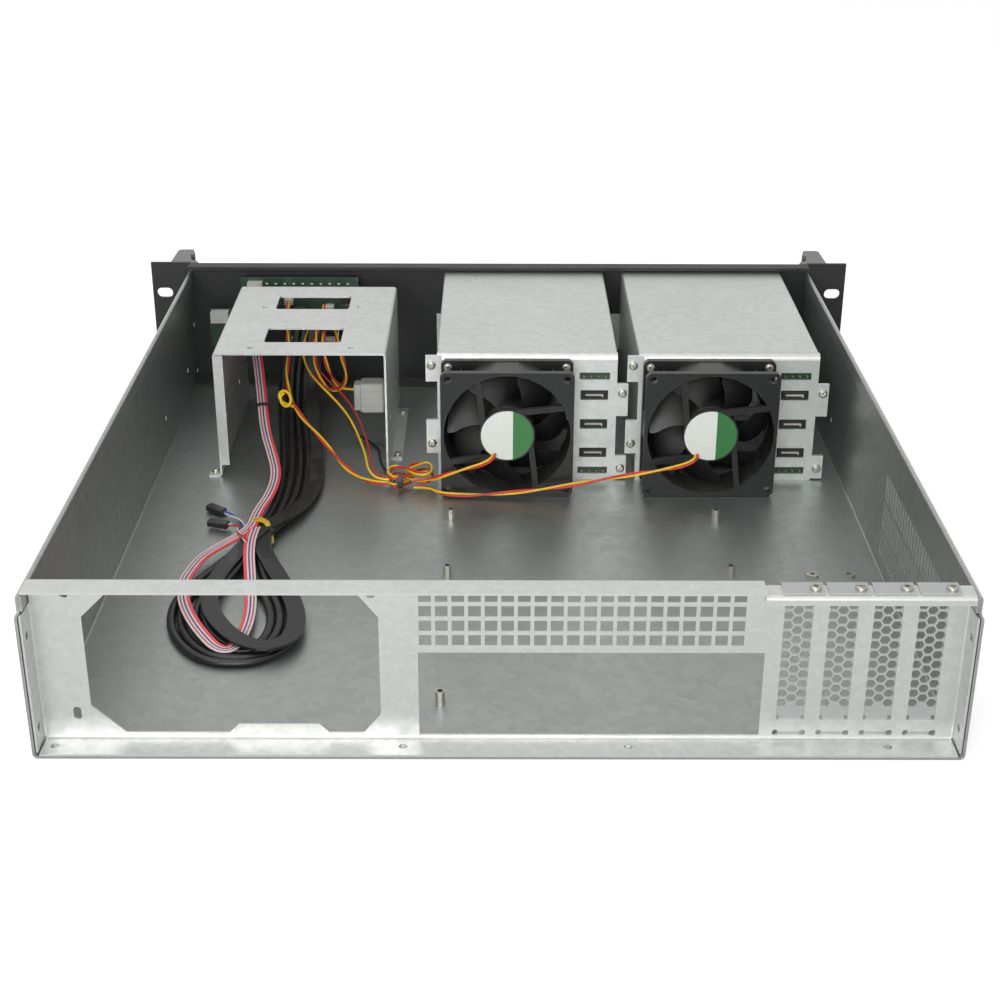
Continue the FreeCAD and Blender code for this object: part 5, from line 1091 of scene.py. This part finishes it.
def make_stage():
    """Pale floor, white surroundings and soft lamps."""
    scene = bpy.context.scene
    scene.view_settings.view_transform = "Standard"
    data = bpy.data.meshes.new("floor")
    data.from_pydata([(x, y, -0.0004) for x, y in ((-3, -3), (3, -3), (3, 3), (-3, 3))], [], [(0, 1, 2, 3)])
    floor = bpy.data.objects.new("floor", data)
    bpy.context.collection.objects.link(floor)
    material = bpy.data.materials.new("Studio floor")
    material.use_nodes = True
    tree = material.node_tree
    shader = tree.nodes["Principled BSDF"]
    shader.inputs["Roughness"].default_value = 0.9
    shader.inputs["Specular IOR Level"].default_value = 0.0
    shader.inputs["Base Color"].default_value = (0.62, 0.62, 0.62, 1)
    shader.inputs["Emission Color"].default_value = (1, 1, 1, 1)
    seen = tree.nodes.new("ShaderNodeLightPath")
    glow = maths(tree, "MULTIPLY", seen.outputs["Is Camera Ray"], 0.62)
    tree.links.new(glow, shader.inputs["Emission Strength"])
    data.materials.append(material)
    world = bpy.data.worlds.new("Studio")
    scene.world = world
    world.use_nodes = True
    tree = world.node_tree
    around = tree.nodes["Background"]
    path = tree.nodes.new("ShaderNodeLightPath")
    seen = maths(tree, "MAXIMUM", path.outputs["Is Camera Ray"], path.outputs["Is Transmission Ray"])
    glossy = maths(tree, "MULTIPLY", path.outputs["Is Glossy Ray"], 0.25)
    bright = maths(tree, "ADD", maths(tree, "MULTIPLY", seen, 0.45), glossy)
    tree.links.new(maths(tree, "ADD", bright, 0.55), around.inputs["Strength"])
    around.inputs["Color"].default_value = (1, 1, 1, 1)
    lamp("top", (0.45, 0.1, 1.5), (0.05, 0.05, 0), 1.0, 1.0, 7.0)
    lamp("rear", (0.3, 1.9, 0.7), (0, 0.25, 0.05), 1.2, 0.8, 24.0)


# ---------------------------------------------------------------- add-on
class SERVER_CASE_OT_camera(bpy.types.Operator):
    """Places the camera"""
    bl_idname = "server_case.camera"
    bl_label = "Camera"

    def execute(self, context):
        place_camera()
        return {"FINISHED"}


class SERVER_CASE_OT_finishes(bpy.types.Operator):
    """Makes the finishes and dresses the sheet metal, mouldings and boards"""
    bl_idname = "server_case.finishes"
    bl_label = "Finishes"

    def execute(self, context):
        make_finishes(context.scene.server_case_colours)
        dress_nodes()
        return {"FINISHED"}


class SERVER_CASE_OT_black_cables(bpy.types.Operator):
    """Makes the black cables and their coil"""
    bl_idname = "server_case.black_cables"
    bl_label = "Black cables"

    def execute(self, context):
        make_black_cables(context.scene.server_case_sizes)
        return {"FINISHED"}


class SERVER_CASE_OT_ribbon(bpy.types.Operator):
    """Makes the ribbon cable and its loop"""
    bl_idname = "server_case.ribbon"
    bl_label = "Ribbon cable"

    def execute(self, context):
        make_ribbon(context.scene.server_case_sizes)
        return {"FINISHED"}


class SERVER_CASE_OT_leads(bpy.types.Operator):
    """Makes the leads, their plugs and the hank of spare wire"""
    bl_idname = "server_case.leads"
    bl_label = "Leads"

    def execute(self, context):
        make_leads(context.scene.server_case_sizes)
        return {"FINISHED"}


class SERVER_CASE_OT_ties(bpy.types.Operator):
    """Makes the ties and the knot"""
    bl_idname = "server_case.ties"
    bl_label = "Ties"

    def execute(self, context):
        make_ties(context.scene.server_case_sizes)
        return {"FINISHED"}


class SERVER_CASE_OT_screws(bpy.types.Operator):
    """Sets the pan head screws"""
    bl_idname = "server_case.screws"
    bl_label = "Screws"

    def execute(self, context):
        tree = placed_tree()
        make_screws(context.scene.server_case_sizes, tree)
        make_power_pins(tree)
        return {"FINISHED"}


class SERVER_CASE_OT_fans(bpy.types.Operator):
    """Makes the fans' impellers, ribs and hub labels"""
    bl_idname = "server_case.fans"
    bl_label = "Fans"

    def execute(self, context):
        make_rotors(rotor_tree())
        make_fan_fittings(context.scene.server_case_sizes)
        return {"FINISHED"}


class SERVER_CASE_OT_boards(bpy.types.Operator):
    """Makes the drive sockets and the parts on the boards"""
    bl_idname = "server_case.boards"
    bl_label = "Boards and sockets"

    def execute(self, context):
        make_sockets()
        make_board_parts()
        return {"FINISHED"}


class SERVER_CASE_OT_rims(bpy.types.Operator):
    """Makes the hems, whose brighter zinc is a painted highlight"""
    bl_idname = "server_case.rims"
    bl_label = "Rims"

    def execute(self, context):
        make_rims()
        return {"FINISHED"}


class SERVER_CASE_OT_stage(bpy.types.Operator):
    """Sets the floor, surroundings and lamps"""
    bl_idname = "server_case.stage"
    bl_label = "Stage"

    def execute(self, context):
        make_stage()
        return {"FINISHED"}


OPERATORS = (SERVER_CASE_OT_camera, SERVER_CASE_OT_finishes, SERVER_CASE_OT_black_cables,
             SERVER_CASE_OT_ribbon, SERVER_CASE_OT_leads, SERVER_CASE_OT_ties, SERVER_CASE_OT_screws,
             SERVER_CASE_OT_fans, SERVER_CASE_OT_boards, SERVER_CASE_OT_rims, SERVER_CASE_OT_stage)


class SERVER_CASE_PT_panel(bpy.types.Panel):
    """Sidebar list of the case's settings and steps"""
    bl_idname = "SERVER_CASE_PT_panel"
    bl_label = "Server case"
    bl_space_type = "VIEW_3D"
    bl_region_type = "UI"
    bl_category = "Server case"

    def draw(self, context):
        for settings in (context.scene.server_case_sizes, context.scene.server_case_colours):
            for name in settings.__annotations__:
                self.layout.prop(settings, name)
        for operator in OPERATORS:
            self.layout.operator(operator.bl_idname)


CLASSES = (ServerCaseColours, ServerCaseSizes, SERVER_CASE_PT_panel) + OPERATORS


def register():
    """Registers the classes and hangs the settings on the scene."""
    for part in CLASSES:
        bpy.utils.register_class(part)
    bpy.types.Scene.server_case_colours = bpy.props.PointerProperty(type=ServerCaseColours)
    bpy.types.Scene.server_case_sizes = bpy.props.PointerProperty(type=ServerCaseSizes)


def unregister():
    """Takes the settings and the classes away again."""
    del bpy.types.Scene.server_case_sizes
    del bpy.types.Scene.server_case_colours
    for part in reversed(CLASSES):
        bpy.utils.unregister_class(part)


def main():
    """Runs every step in order."""
    register()
    for operator in OPERATORS:
        group, step = operator.bl_idname.split(".")
        getattr(getattr(bpy.ops, group), step)()


if __name__ == "__main__":
    main()
